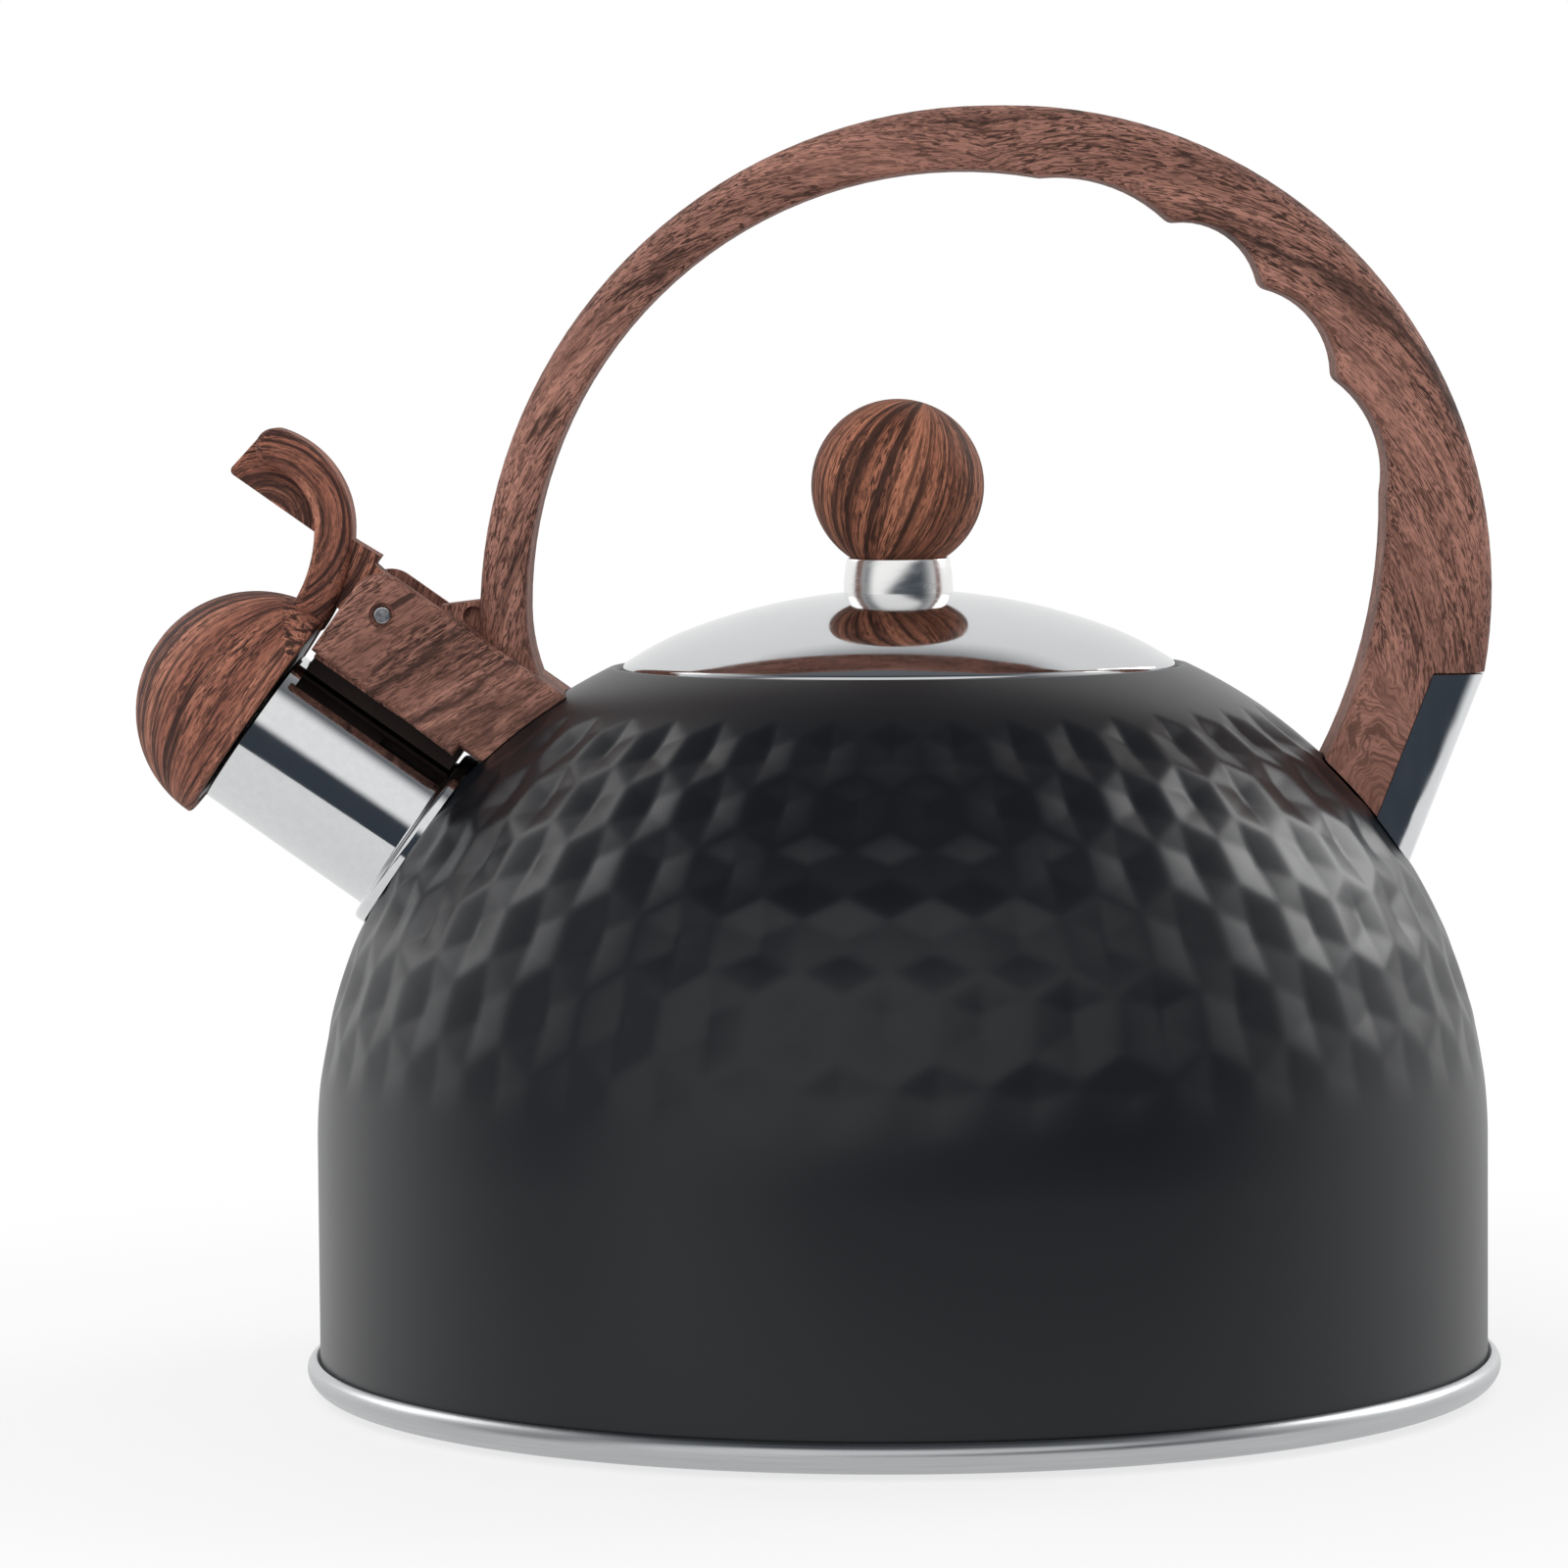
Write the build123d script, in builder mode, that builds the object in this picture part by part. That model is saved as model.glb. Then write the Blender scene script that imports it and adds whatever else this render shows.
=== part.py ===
from build123d import *
import math
import os

os.makedirs("parts", exist_ok=True)

# Stovetop whistling kettle. Sizes are millimetres and degrees. The kettle stands on z = 0 with the
# axis of its body on +Z, the spout towards -X and the back of the handle towards +X.

# Body: deep-drawn steel shell with a straight wall, a round dome and an edge turned in round the lid,
# and the mouth ring seamed into that edge, which is the lid's seat and neck
body_radius = 95.0
shoulder_height = 40.7
dome_radius = 84.7
body_sheet = 0.8
seat_radius = 45.5
seat_recess = 1.6
seat_edge_round = 0.9
seat_ledge = 5.5
neck_depth = 8.0
neck_round = 0.7
ring_fit = 0.05

# Base: pressed pan with a rolled rim, heat spreader and closing cap
rim_overhang = 2.0
rim_top = 5.8
rim_foot = 0.8
rim_belly_height = 3.3
rim_flat = 1.4
rim_crown = 0.6
groove_lip_drop = 0.5
groove_floor = 2.4
groove_fit = 0.05
base_sheet = 0.8
floor_height = 3.0
spreader_inset = 9.0
capsule_sheet = 0.8
capsule_fit = 0.05
capsule_moat = 0.9

# Spout: tube standing square on the dome, with a bead where it is rolled into the body
spout_tilt = 35.5
spout_length = 31.4
spout_radius = 13.8
spout_wall = 0.8
spout_lip_round = 0.35
bead_overhang = 2.3
bead_height = 0.5
bead_round = 0.9

# Whistle cap, measured from the mouth of the spout along it and from the spout's wall across it
cap_overhang = 5.8
cap_rise = 2.0
cap_gap = 0.3
cap_centre_out = 0.9
cap_wall = 3.0
cap_edge_round = 0.6
steam_vent_radius = 2.4
whistle_flange_inset = 2.2
whistle_flange_depth = 0.8
whistle_sheet = 0.6
whistle_tube_radius = 8.0
whistle_tube_depth = 6.2
whistle_hole_radius = 2.2
whistle_inlet_depth = 0.5
whistle_plate_space = 4.6
whistle_fit = 0.04

# Lever of the cap: swan neck, thumb beak and hinge arm
lever_thickness = 6.2
lever_width = 11.0
lever_overhang = 0.6
lever_root_rise = 5.2
lever_sweep_radius = 26.0
lever_sweep_angle = 35.0
lever_crook_radius = 13.7
lever_crook_angle = 72.0
lever_edge_round = 1.5
arm_top_fall = 0.6
beak_thickness = 4.0
beak_reach = 4.1
beak_rise = 17.7
beak_blunt = 0.9
arm_width = 7.6
arm_top_rise = 20.7
arm_foot_rise = 10.3
arm_setback = 1.3
arm_step = 1.6
knuckle_radius = 4.6
knuckle_far_end = 3.9
knuckle_gap = 0.4

# Hinge of the cap
hinge_setback = 7.3
pin_rise = 13.7
pin_radius = 1.5
pin_running_fit = 0.06
pin_seat_fit = 0.03
pin_inset = 0.7
pin_sink_radius = 2.1
pin_sink_depth = 1.1

# Closing spring on the pin
wire_radius = 0.4
coil_radius = 3.0
coil_pitch = 1.24
coil_turns = 3
coil_space = 0.5
spring_bend = 0.8
catch_out = 4.6
catch_up = 2.6
catch_depth = 3.4
spring_seat_fit = 0.2
spring_hole_fit = 0.35
spring_hole_depth = 2.6
spring_tip_gap = 0.5
wire_samples = 600

# Handle: arch with finger scallops, front housing and back foot in one moulding
handle_top = 207.2
handle_width = 20.0
crest_front = 14.8
crest_rear = 17.7
back_overhang = 0.6
grip_x = 10.4
grip_thickness = 7.7
crest_thickness = 10.3
leg_thickness = 7.8
scallop_angles = (79.4, 61.2, 46.6, 31.2, 14.6)
scallop_depths = (2.5, 3.8, 3.5, 3.0)
scallop_edge_round = 2.0
arch_outer_round = 5.0
arch_inner_round = 1.6
leg_flare = 30.0
leg_flare_angle = 26.0
foot_length = 26.1
foot_hollow = 2.8
body_gap = 0.15
foot_bury = 1.5
rear_arc_turn = 150.0

# Front housing of the handle, measured from the mouth and the wall of the spout
cheek_thickness = 3.0
cheek_setback = 1.1
cheek_front_clear = 2.6
cheek_back_clear = 1.6
cheek_rise = 19.9
cheek_corner = 5.0
cheek_edge_round = 1.2
cheek_notch = 2.0
notch_setback = 29.6
block_front = 17.5
block_clear = 3.2
well_front = 2.0
well_floor = 1.5
saddle_width = 13.0
saddle_clear = 0.5
saddle_bead_gap = 0.6
gusset_width = 8.0
gusset_front = 13.9
gusset_rise = 4.8
gusset_dimple_radius = 1.7
gusset_dimple_depth = 1.5

# Front bracket and its screw
tongue_thickness = 2.5
tongue_width = 8.0
tongue_reach = 24.0
tongue_round = 2.0
bracket_rise = 10.2
pad_thickness = 1.2
pad_length = 12.0
pad_width = 15.0
front_screw_setback = 28.4
bracket_fit = 0.15

# Back bracket: channel that holds the back foot, and its screw
channel_top = 115.4
channel_inset = 0.15
channel_lean = 21.6
channel_depth = 7.8
channel_sheet = 1.2
channel_corner = 4.2
channel_fit = 0.12
channel_top_gap = 0.3
channel_screw_drop = 14.5

# Screws
screw_radius = 2.0
screw_hole_fit = 0.2
thread_fit = 0.05
screw_head_radius = 3.5
screw_head_height = 2.2
screw_head_fit = 0.3
screw_slot_width = 1.0
screw_slot_length = 4.2
screw_slot_depth = 0.9
screw_head_sink = 0.6
screw_tip_room = 0.6
front_screw_length = 17.0
rear_screw_length = 9.0
countersink_radius = 3.2

# Lid with its knob
lid_fit = 0.7
lid_sheet = 0.7
lid_arc = 93.0
lid_rim_height = 1.3
lid_rim_round = 0.5
skirt_fit = 0.4
skirt_sheet = 0.6
skirt_depth = 7.6
skirt_join = 0.02
ferrule_top_radius = 8.1
ferrule_waist_radius = 8.5
ferrule_foot_radius = 8.9
ferrule_height = 5.6
ferrule_sheet = 0.8
ferrule_lip = 0.9
ferrule_round = 0.3
ferrule_waist_drop = 2.2
ferrule_draft = 0.5
knob_radius = 14.0
knob_flat_radius = 7.7
knob_bore_depth = 13.0
knob_screw_clear = 1.0
washer_radius = 4.6
washer_thickness = 0.8

# What is trimmed to the dome is first made this much too long
trim = 6.0

# Places that follow from the sizes
rim_radius = body_radius + rim_overhang
spreader_radius = body_radius - spreader_inset
dome_axis = body_radius - dome_radius
tilt = math.radians(spout_tilt)
out_x = -math.cos(tilt)
out_z = math.sin(tilt)
mouth_x = -dome_axis + (dome_radius + spout_length) * out_x
mouth_z = shoulder_height + (dome_radius + spout_length) * out_z
rear_arc = body_radius + back_overhang - crest_rear
grip_radius = rear_arc - grip_thickness
grip_height = handle_top - crest_thickness - grip_radius
front_arc = crest_front - grip_x + grip_radius + leg_thickness
mouth_radius = seat_radius - seat_ledge
bead_radius = spout_radius + bead_overhang
cap_radius = spout_radius + cap_overhang
cap_cavity_radius = cap_radius - cap_wall
whistle_flange_radius = cap_radius - whistle_flange_inset
lever_root = spout_radius + lever_root_rise
beak_level = spout_radius + beak_rise
arm_top = spout_radius + arm_top_rise
arm_foot = spout_radius + arm_foot_rise
hinge_rise = spout_radius + pin_rise
cheek_front_bottom = spout_radius + cheek_front_clear
cheek_back_bottom = spout_radius + cheek_back_clear
cheek_top = spout_radius + cheek_rise
block_bottom = spout_radius + block_clear
bracket_level = spout_radius + bracket_rise
half_handle = handle_width / 2
half_housing = half_handle + cheek_thickness
cap_face = cap_gap


def dome_height(reach):
    """Height of the dome's outside at a distance from the body's axis."""
    return shoulder_height + math.sqrt(dome_radius**2 - (reach - dome_axis) ** 2)


def dome_setback(across):
    """How far behind the spout's mouth the dome lies, at a distance across the spout."""
    return dome_radius + spout_length - math.sqrt(dome_radius**2 - across**2)


seat_height = dome_height(seat_radius) - seat_recess
lid_radius = seat_radius - lid_fit
lid_rim_z = seat_height + lid_rim_height
lid_centre = lid_rim_z - math.sqrt(lid_arc**2 - lid_radius**2)


def lid_top(reach):
    """Height of the lid's outside at a distance from the axis."""
    return lid_centre + math.sqrt(lid_arc**2 - reach**2)


def lid_under(reach):
    """Height of the lid's inside at a distance from the axis."""
    return lid_centre + math.sqrt((lid_arc - lid_sheet) ** 2 - reach**2)


ferrule_foot = lid_top(ferrule_foot_radius) + skirt_join
knob_foot = lid_centre + lid_arc + ferrule_height
knob_centre = knob_foot + math.sqrt(knob_radius**2 - knob_flat_radius**2)

# Side view of the spout: first direction out along the spout, second up across it
spout_side = Plane(origin=(mouth_x, 0, mouth_z), x_dir=(out_x, 0, out_z), z_dir=(0, 1, 0))
# The mouth of the spout seen from outside
spout_mouth = Plane(origin=(mouth_x, 0, mouth_z), x_dir=(0, 1, 0), z_dir=(out_x, 0, out_z))
spout_line = Axis((mouth_x, 0, mouth_z), (out_x, 0, out_z))
cap_line = Axis(spout_side.from_local_coords((0, cap_rise, 0)), (out_x, 0, out_z))

# Cross-section of the back channel: first direction inwards from its back, second along Y
lean = math.radians(channel_lean)
rear_arc_height = channel_top - (handle_top - rear_arc)
channel_back = crest_rear + math.sqrt(rear_arc**2 - rear_arc_height**2) - channel_inset
channel_down = (-math.sin(lean), 0, -math.cos(lean))
channel_in = (-math.cos(lean), 0, math.sin(lean))
channel_section = Plane(origin=(channel_back, 0, channel_top), x_dir=channel_in, z_dir=channel_down)
channel_run = 60.0
channel_head = 12.0


def filled_body(growth):
    """Filled outside of the body, grown by a gap, used to fit pieces to the dome."""
    with BuildPart() as filled:
        with BuildSketch(Plane.XZ):
            with BuildLine():
                Polyline(
                    (dome_axis, shoulder_height + dome_radius + growth),
                    (0, shoulder_height + dome_radius + growth),
                    (0, 0),
                    (body_radius + growth, 0),
                    (body_radius + growth, shoulder_height),
                )
                CenterArc((dome_axis, shoulder_height), dome_radius + growth, 0, 90)
            make_face()
        revolve(axis=Axis.Z)
    return filled.part


body_fill = filled_body(0)
body_fill_gap = filled_body(body_gap)
pad_fill = filled_body(pad_thickness)
pad_fill_gap = filled_body(pad_thickness + bracket_fit)


# Body shell
with BuildPart() as kettle_body:
    seat_angle = math.degrees(math.acos((seat_radius - dome_axis) / dome_radius))
    under_seat = seat_height - body_sheet
    inner_dome = dome_radius - body_sheet
    inner_angle = math.degrees(math.asin((under_seat - shoulder_height) / inner_dome))
    with BuildSketch(Plane.XZ):
        with BuildLine():
            Line((body_radius, groove_floor), (body_radius, shoulder_height))
            outer_arc = CenterArc((dome_axis, shoulder_height), dome_radius, 0, seat_angle)
            inner_arc = CenterArc((dome_axis, shoulder_height), inner_dome, 0, inner_angle)
            Polyline(
                outer_arc @ 1,
                (seat_radius, under_seat),
                inner_arc @ 1,
            )
            Polyline(
                (body_radius - body_sheet, shoulder_height),
                (body_radius - body_sheet, groove_floor),
                (body_radius, groove_floor),
            )
        make_face()
    revolve(axis=Axis.Z)
    seat_edge = kettle_body.edges().sort_by_distance((0, seat_radius, seat_height + seat_recess))[0]
    seat_corner = math.pi / 2 - math.asin((seat_radius - dome_axis) / dome_radius)
    seat_wall_round = 0.95 * seat_recess * math.tan(seat_corner / 2)
    fillet(seat_edge, min(seat_edge_round, seat_wall_round))
    # Hole through the dome into the spout
    with BuildSketch(spout_mouth):
        Circle(spout_radius - spout_wall)
    extrude(amount=-(spout_length + spout_radius), mode=Mode.SUBTRACT)

# Mouth ring: flat seat for the lid with a neck turned down, seamed into the body's top edge
with BuildPart() as mouth_ring:
    with BuildSketch(Plane.XZ) as ring_profile:
        with BuildLine():
            Polyline(
                (seat_radius - ring_fit, seat_height),
                (mouth_radius, seat_height),
                (mouth_radius, seat_height - neck_depth),
                (mouth_radius + body_sheet, seat_height - neck_depth),
                (mouth_radius + body_sheet, under_seat),
                (seat_radius - ring_fit, under_seat),
                close=True,
            )
        make_face()
        fillet(ring_profile.vertices().sort_by_distance((mouth_radius, seat_height))[0], neck_round)
    revolve(axis=Axis.Z)

# Base pan: floor, moat round the capsule, groove for the body's edge and rolled rim
with BuildPart() as base_pan:
    capsule_radius = spreader_radius + capsule_fit + capsule_sheet
    moat_inner = capsule_radius + capsule_moat
    moat_outer = moat_inner + floor_height - rim_foot
    lip_inner = body_radius - body_sheet - groove_fit - base_sheet
    with BuildSketch(Plane.XZ):
        with BuildLine():
            Polyline((0, floor_height), (moat_inner, floor_height), (moat_outer, rim_foot))
            under = Line((moat_outer, rim_foot), (body_radius - rim_flat, rim_foot))
            belly = TangentArc(under @ 1, (rim_radius, rim_belly_height), tangent=(1, 0))
            crown = TangentArc(belly @ 1, (body_radius + rim_crown, rim_top), tangent=belly % 1)
            Polyline(
                crown @ 1,
                (body_radius + groove_fit, rim_top - groove_lip_drop),
                (body_radius + groove_fit, groove_floor),
                (body_radius - body_sheet - groove_fit, groove_floor),
                (body_radius - body_sheet - groove_fit, rim_top - groove_lip_drop),
                (lip_inner, rim_top - groove_lip_drop),
                (lip_inner, rim_foot + base_sheet),
                (moat_outer + base_sheet * 0.4, rim_foot + base_sheet),
                (moat_inner + base_sheet * 0.4, floor_height + base_sheet),
                (0, floor_height + base_sheet),
                (0, floor_height),
            )
        make_face()
    revolve(axis=Axis.Z)

# Heat spreader: flat aluminium disc between the pan and the base cap
with BuildPart() as heat_spreader:
    with BuildSketch(Plane.XY.offset(capsule_sheet)):
        Circle(spreader_radius)
    extrude(amount=floor_height - capsule_sheet)

# Base cap: shallow steel cup over the spreader, the face the kettle stands on
with BuildPart() as base_cap:
    with BuildSketch(Plane.XY):
        Circle(capsule_radius)
    extrude(amount=floor_height)
    with BuildSketch(Plane.XY.offset(capsule_sheet)):
        Circle(spreader_radius + capsule_fit)
    extrude(amount=floor_height, mode=Mode.SUBTRACT)
    fillet(base_cap.faces().sort_by(Axis.Z)[0].edges(), capsule_sheet * 0.6)

# Spout tube with its root bead, cut to the dome it is rolled into
with BuildPart() as spout_tube:
    bead_run = spout_length - bead_height
    with BuildSketch(spout_side) as tube_profile:
        with BuildLine():
            Polyline(
                (0, spout_radius - spout_wall),
                (0, spout_radius),
                (-bead_run, spout_radius),
                (-bead_run, bead_radius),
                (-dome_setback(bead_radius) - trim / 2, bead_radius),
                (-dome_setback(bead_radius) - trim / 2, spout_radius - spout_wall),
                close=True,
            )
        make_face()
        corners = tube_profile.vertices()
        fillet(corners.sort_by_distance((-bead_run, bead_radius))[0], bead_round)
        corners = tube_profile.vertices()
        fillet(corners.sort_by_distance((-bead_run, spout_radius))[0], bead_round * 0.5)
        corners = tube_profile.vertices()
        fillet(corners.sort_by_distance((0, spout_radius))[0], spout_lip_round)
    revolve(axis=spout_line)
    add(body_fill, mode=Mode.SUBTRACT)

# Front bracket: pad welded to the dome with a tongue that the housing slides over
with BuildPart() as front_bracket:
    with BuildSketch(spout_side):
        with Locations((-dome_setback(bracket_level), bracket_level)):
            Rectangle(4 * pad_thickness + trim, pad_length)
    extrude(amount=pad_width / 2, both=True)
    add(pad_fill, mode=Mode.INTERSECT)
    with BuildSketch(spout_side) as tongue_side:
        with Locations((-tongue_reach, bracket_level)):
            Rectangle(
                dome_setback(bracket_level) - tongue_reach + trim / 2,
                tongue_width,
                align=(Align.MAX, Align.CENTER),
            )
        fillet(tongue_side.vertices().group_by(Axis.X)[-1], tongue_round)
        with Locations((-front_screw_setback, bracket_level)):
            Circle(screw_radius + screw_hole_fit, mode=Mode.SUBTRACT)
    extrude(amount=tongue_thickness / 2, both=True)
    add(body_fill, mode=Mode.SUBTRACT)

# Front screw: pan head sunk in the far cheek, through the tongue, biting in the near half
far_face = half_housing - screw_head_height - screw_head_sink
with BuildPart() as front_screw:
    screw_side = spout_side.offset(far_face)
    with BuildSketch(screw_side):
        with Locations((-front_screw_setback, bracket_level)):
            Circle(screw_head_radius)
    extrude(amount=screw_head_height)
    with BuildSketch(screw_side):
        with Locations((-front_screw_setback, bracket_level)):
            Circle(screw_radius)
    extrude(amount=-front_screw_length)
    fillet(front_screw.faces().sort_by(Axis.Y)[-1].edges(), screw_head_height * 0.3)
    with BuildSketch(spout_side.offset(far_face + screw_head_height)):
        with Locations((-front_screw_setback, bracket_level)):
            Rectangle(screw_slot_width, screw_slot_length)
            Rectangle(screw_slot_length, screw_slot_width)
    extrude(amount=-screw_slot_depth, mode=Mode.SUBTRACT)

# Back bracket: bent channel with rounded back corners, cut to the dome
with BuildPart() as rear_bracket:
    with BuildSketch(channel_section.offset(-channel_head)) as channel_shape:
        Rectangle(channel_depth, handle_width, align=(Align.MIN, Align.CENTER))
        fillet(channel_shape.vertices().group_by(Axis.X)[0], channel_corner)
        with BuildSketch(mode=Mode.SUBTRACT) as channel_hollow:
            with Locations((channel_sheet, 0)):
                Rectangle(
                    channel_depth,
                    handle_width - 2 * channel_sheet,
                    align=(Align.MIN, Align.CENTER),
                )
            fillet(channel_hollow.vertices().group_by(Axis.X)[0], channel_corner - channel_sheet)
    extrude(amount=channel_head + channel_run)
    with BuildSketch(Plane.XY.offset(channel_top)):
        with Locations((channel_back, 0)):
            Rectangle(channel_run, handle_width + trim)
    extrude(amount=channel_run, mode=Mode.SUBTRACT)
    add(body_fill, mode=Mode.SUBTRACT)
    # Countersunk hole for the screw
    screw_origin = channel_section.from_local_coords((0, 0, channel_screw_drop))
    screw_drive = Plane(origin=screw_origin, x_dir=(0, 1, 0), z_dir=channel_in)
    with BuildSketch(screw_drive):
        Circle(countersink_radius)
    with BuildSketch(screw_drive.offset(channel_sheet)):
        Circle(screw_radius + thread_fit)
    loft(mode=Mode.SUBTRACT)

# Back screw: countersunk head flush with the channel's back, biting in the foot
with BuildPart() as rear_screw:
    with BuildSketch(screw_drive):
        Circle(countersink_radius - thread_fit)
    with BuildSketch(screw_drive.offset(channel_sheet)):
        Circle(screw_radius)
    loft()
    with BuildSketch(screw_drive.offset(channel_sheet)):
        Circle(screw_radius)
    extrude(amount=rear_screw_length)
    with BuildSketch(screw_drive):
        Rectangle(screw_slot_width, screw_slot_length)
        Rectangle(screw_slot_length, screw_slot_width)
    extrude(amount=screw_slot_depth * 0.8, mode=Mode.SUBTRACT)

# Room that the back channel takes out of the handle: all that lies round the foot's core
with BuildPart() as channel_room:
    with BuildSketch(channel_section.offset(-channel_head)):
        with Locations((channel_depth + channel_fit, 0)):
            Rectangle(channel_run, handle_width + trim, align=(Align.MAX, Align.CENTER))
        with BuildSketch(mode=Mode.SUBTRACT) as foot_core:
            with Locations((channel_sheet + channel_fit, 0)):
                Rectangle(
                    channel_depth,
                    handle_width - 2 * (channel_sheet + channel_fit),
                    align=(Align.MIN, Align.CENTER),
                )
            core_corner = channel_corner - channel_sheet - channel_fit
            fillet(foot_core.vertices().group_by(Axis.X)[0], core_corner)
    extrude(amount=channel_head + channel_run)
    with BuildSketch(Plane.XY.offset(channel_top + channel_top_gap)):
        with Locations((channel_back, 0)):
            Rectangle(2 * channel_run, handle_width + 2 * trim)
    extrude(amount=channel_run, mode=Mode.SUBTRACT)

# Room for the front bracket's pad and tongue
with BuildPart() as pad_room:
    with BuildSketch(spout_side):
        with Locations((-dome_setback(bracket_level), bracket_level)):
            Rectangle(4 * pad_thickness + trim, pad_length + 2 * bracket_fit)
    extrude(amount=pad_width / 2 + bracket_fit, both=True)
    add(pad_fill_gap, mode=Mode.INTERSECT)
    with BuildSketch(spout_side):
        with Locations((-tongue_reach + bracket_fit, bracket_level)):
            Rectangle(
                dome_setback(bracket_level) - tongue_reach + trim / 2,
                tongue_width + 2 * bracket_fit,
                align=(Align.MAX, Align.CENTER),
            )
    extrude(amount=tongue_thickness / 2 + bracket_fit, both=True)

# Run of the closing spring's wire: fixed leg, turns round the pin, leg over the hinge arm
coil_centre = (-hinge_setback, hinge_rise)
catch = (coil_centre[0] + catch_out, coil_centre[1] + catch_up)
catch_reach = math.hypot(catch[0] - coil_centre[0], catch[1] - coil_centre[1])
catch_turn = math.atan2(catch[1] - coil_centre[1], catch[0] - coil_centre[0])
coil_end_angle = math.degrees(catch_turn - math.acos(coil_radius / catch_reach))
coil_angle = coil_end_angle + 90 + 360 * coil_turns
coil_near = knuckle_far_end + coil_space + wire_radius
coil_steps = 2 * math.ceil(coil_angle / 90)
coil_points = []
for step in range(coil_steps + 1):
    part_way = step / coil_steps
    turn = math.radians(-90 + coil_angle * part_way)
    level = coil_near + coil_pitch * coil_angle / 360 * (1 - part_way)
    along = coil_centre[0] + coil_radius * math.cos(turn)
    across = coil_centre[1] + coil_radius * math.sin(turn)
    coil_points.append(spout_side.from_local_coords((along, across, level)))
first_turn = ThreePointArc(coil_points[0], coil_points[1], coil_points[2], mode=Mode.PRIVATE)
last_turn = ThreePointArc(coil_points[-3], coil_points[-2], coil_points[-1], mode=Mode.PRIVATE)
coil_start = first_turn % 0
coil_finish = last_turn % 1
fixed_leg = block_front - hinge_setback + spring_hole_depth - spring_tip_gap
leg_tip = coil_points[0] - coil_start * fixed_leg
bend_corner = coil_points[-1] + coil_finish * math.sqrt(catch_reach**2 - coil_radius**2)
bend_start = bend_corner - coil_finish * spring_bend
bend_end = bend_corner - Vector(0, spring_bend, 0)
wire_end = Vector(bend_corner.X, arm_width / 2 - catch_depth + spring_tip_gap, bend_corner.Z)

# Handle: one moulding. The arch comes first, with its rounded long edges and finger scallops.
grip_points = []
for angle in scallop_angles:
    turn = math.radians(angle)
    cusp_x = grip_x + grip_radius * math.cos(turn)
    cusp_height = grip_height + grip_radius * math.sin(turn)
    grip_points.append((cusp_x, cusp_height))
foot_inner = channel_back - foot_length
foot_point = (foot_inner, dome_height(foot_inner) - foot_bury)
front_centre = (crest_front, handle_top - front_arc)
back_centre = (crest_rear, handle_top - rear_arc)
leg_front = crest_front - front_arc
heel_turn = math.radians(90 - rear_arc_turn)
heel_reach = rear_arc - foot_length
heel_point = (
    back_centre[0] + heel_reach * math.cos(heel_turn),
    back_centre[1] + heel_reach * math.sin(heel_turn),
)


def on_outside(spot):
    """Whether a point lies on the outside of the arch: its crest, its two arcs or its front leg."""
    off_front = math.hypot(spot.X - front_centre[0], spot.Z - front_centre[1]) - front_arc
    off_back = math.hypot(spot.X - back_centre[0], spot.Z - back_centre[1]) - rear_arc
    return min(abs(off_front), abs(off_back), abs(spot.Z - handle_top), abs(spot.X - leg_front)) < 0.01


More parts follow.
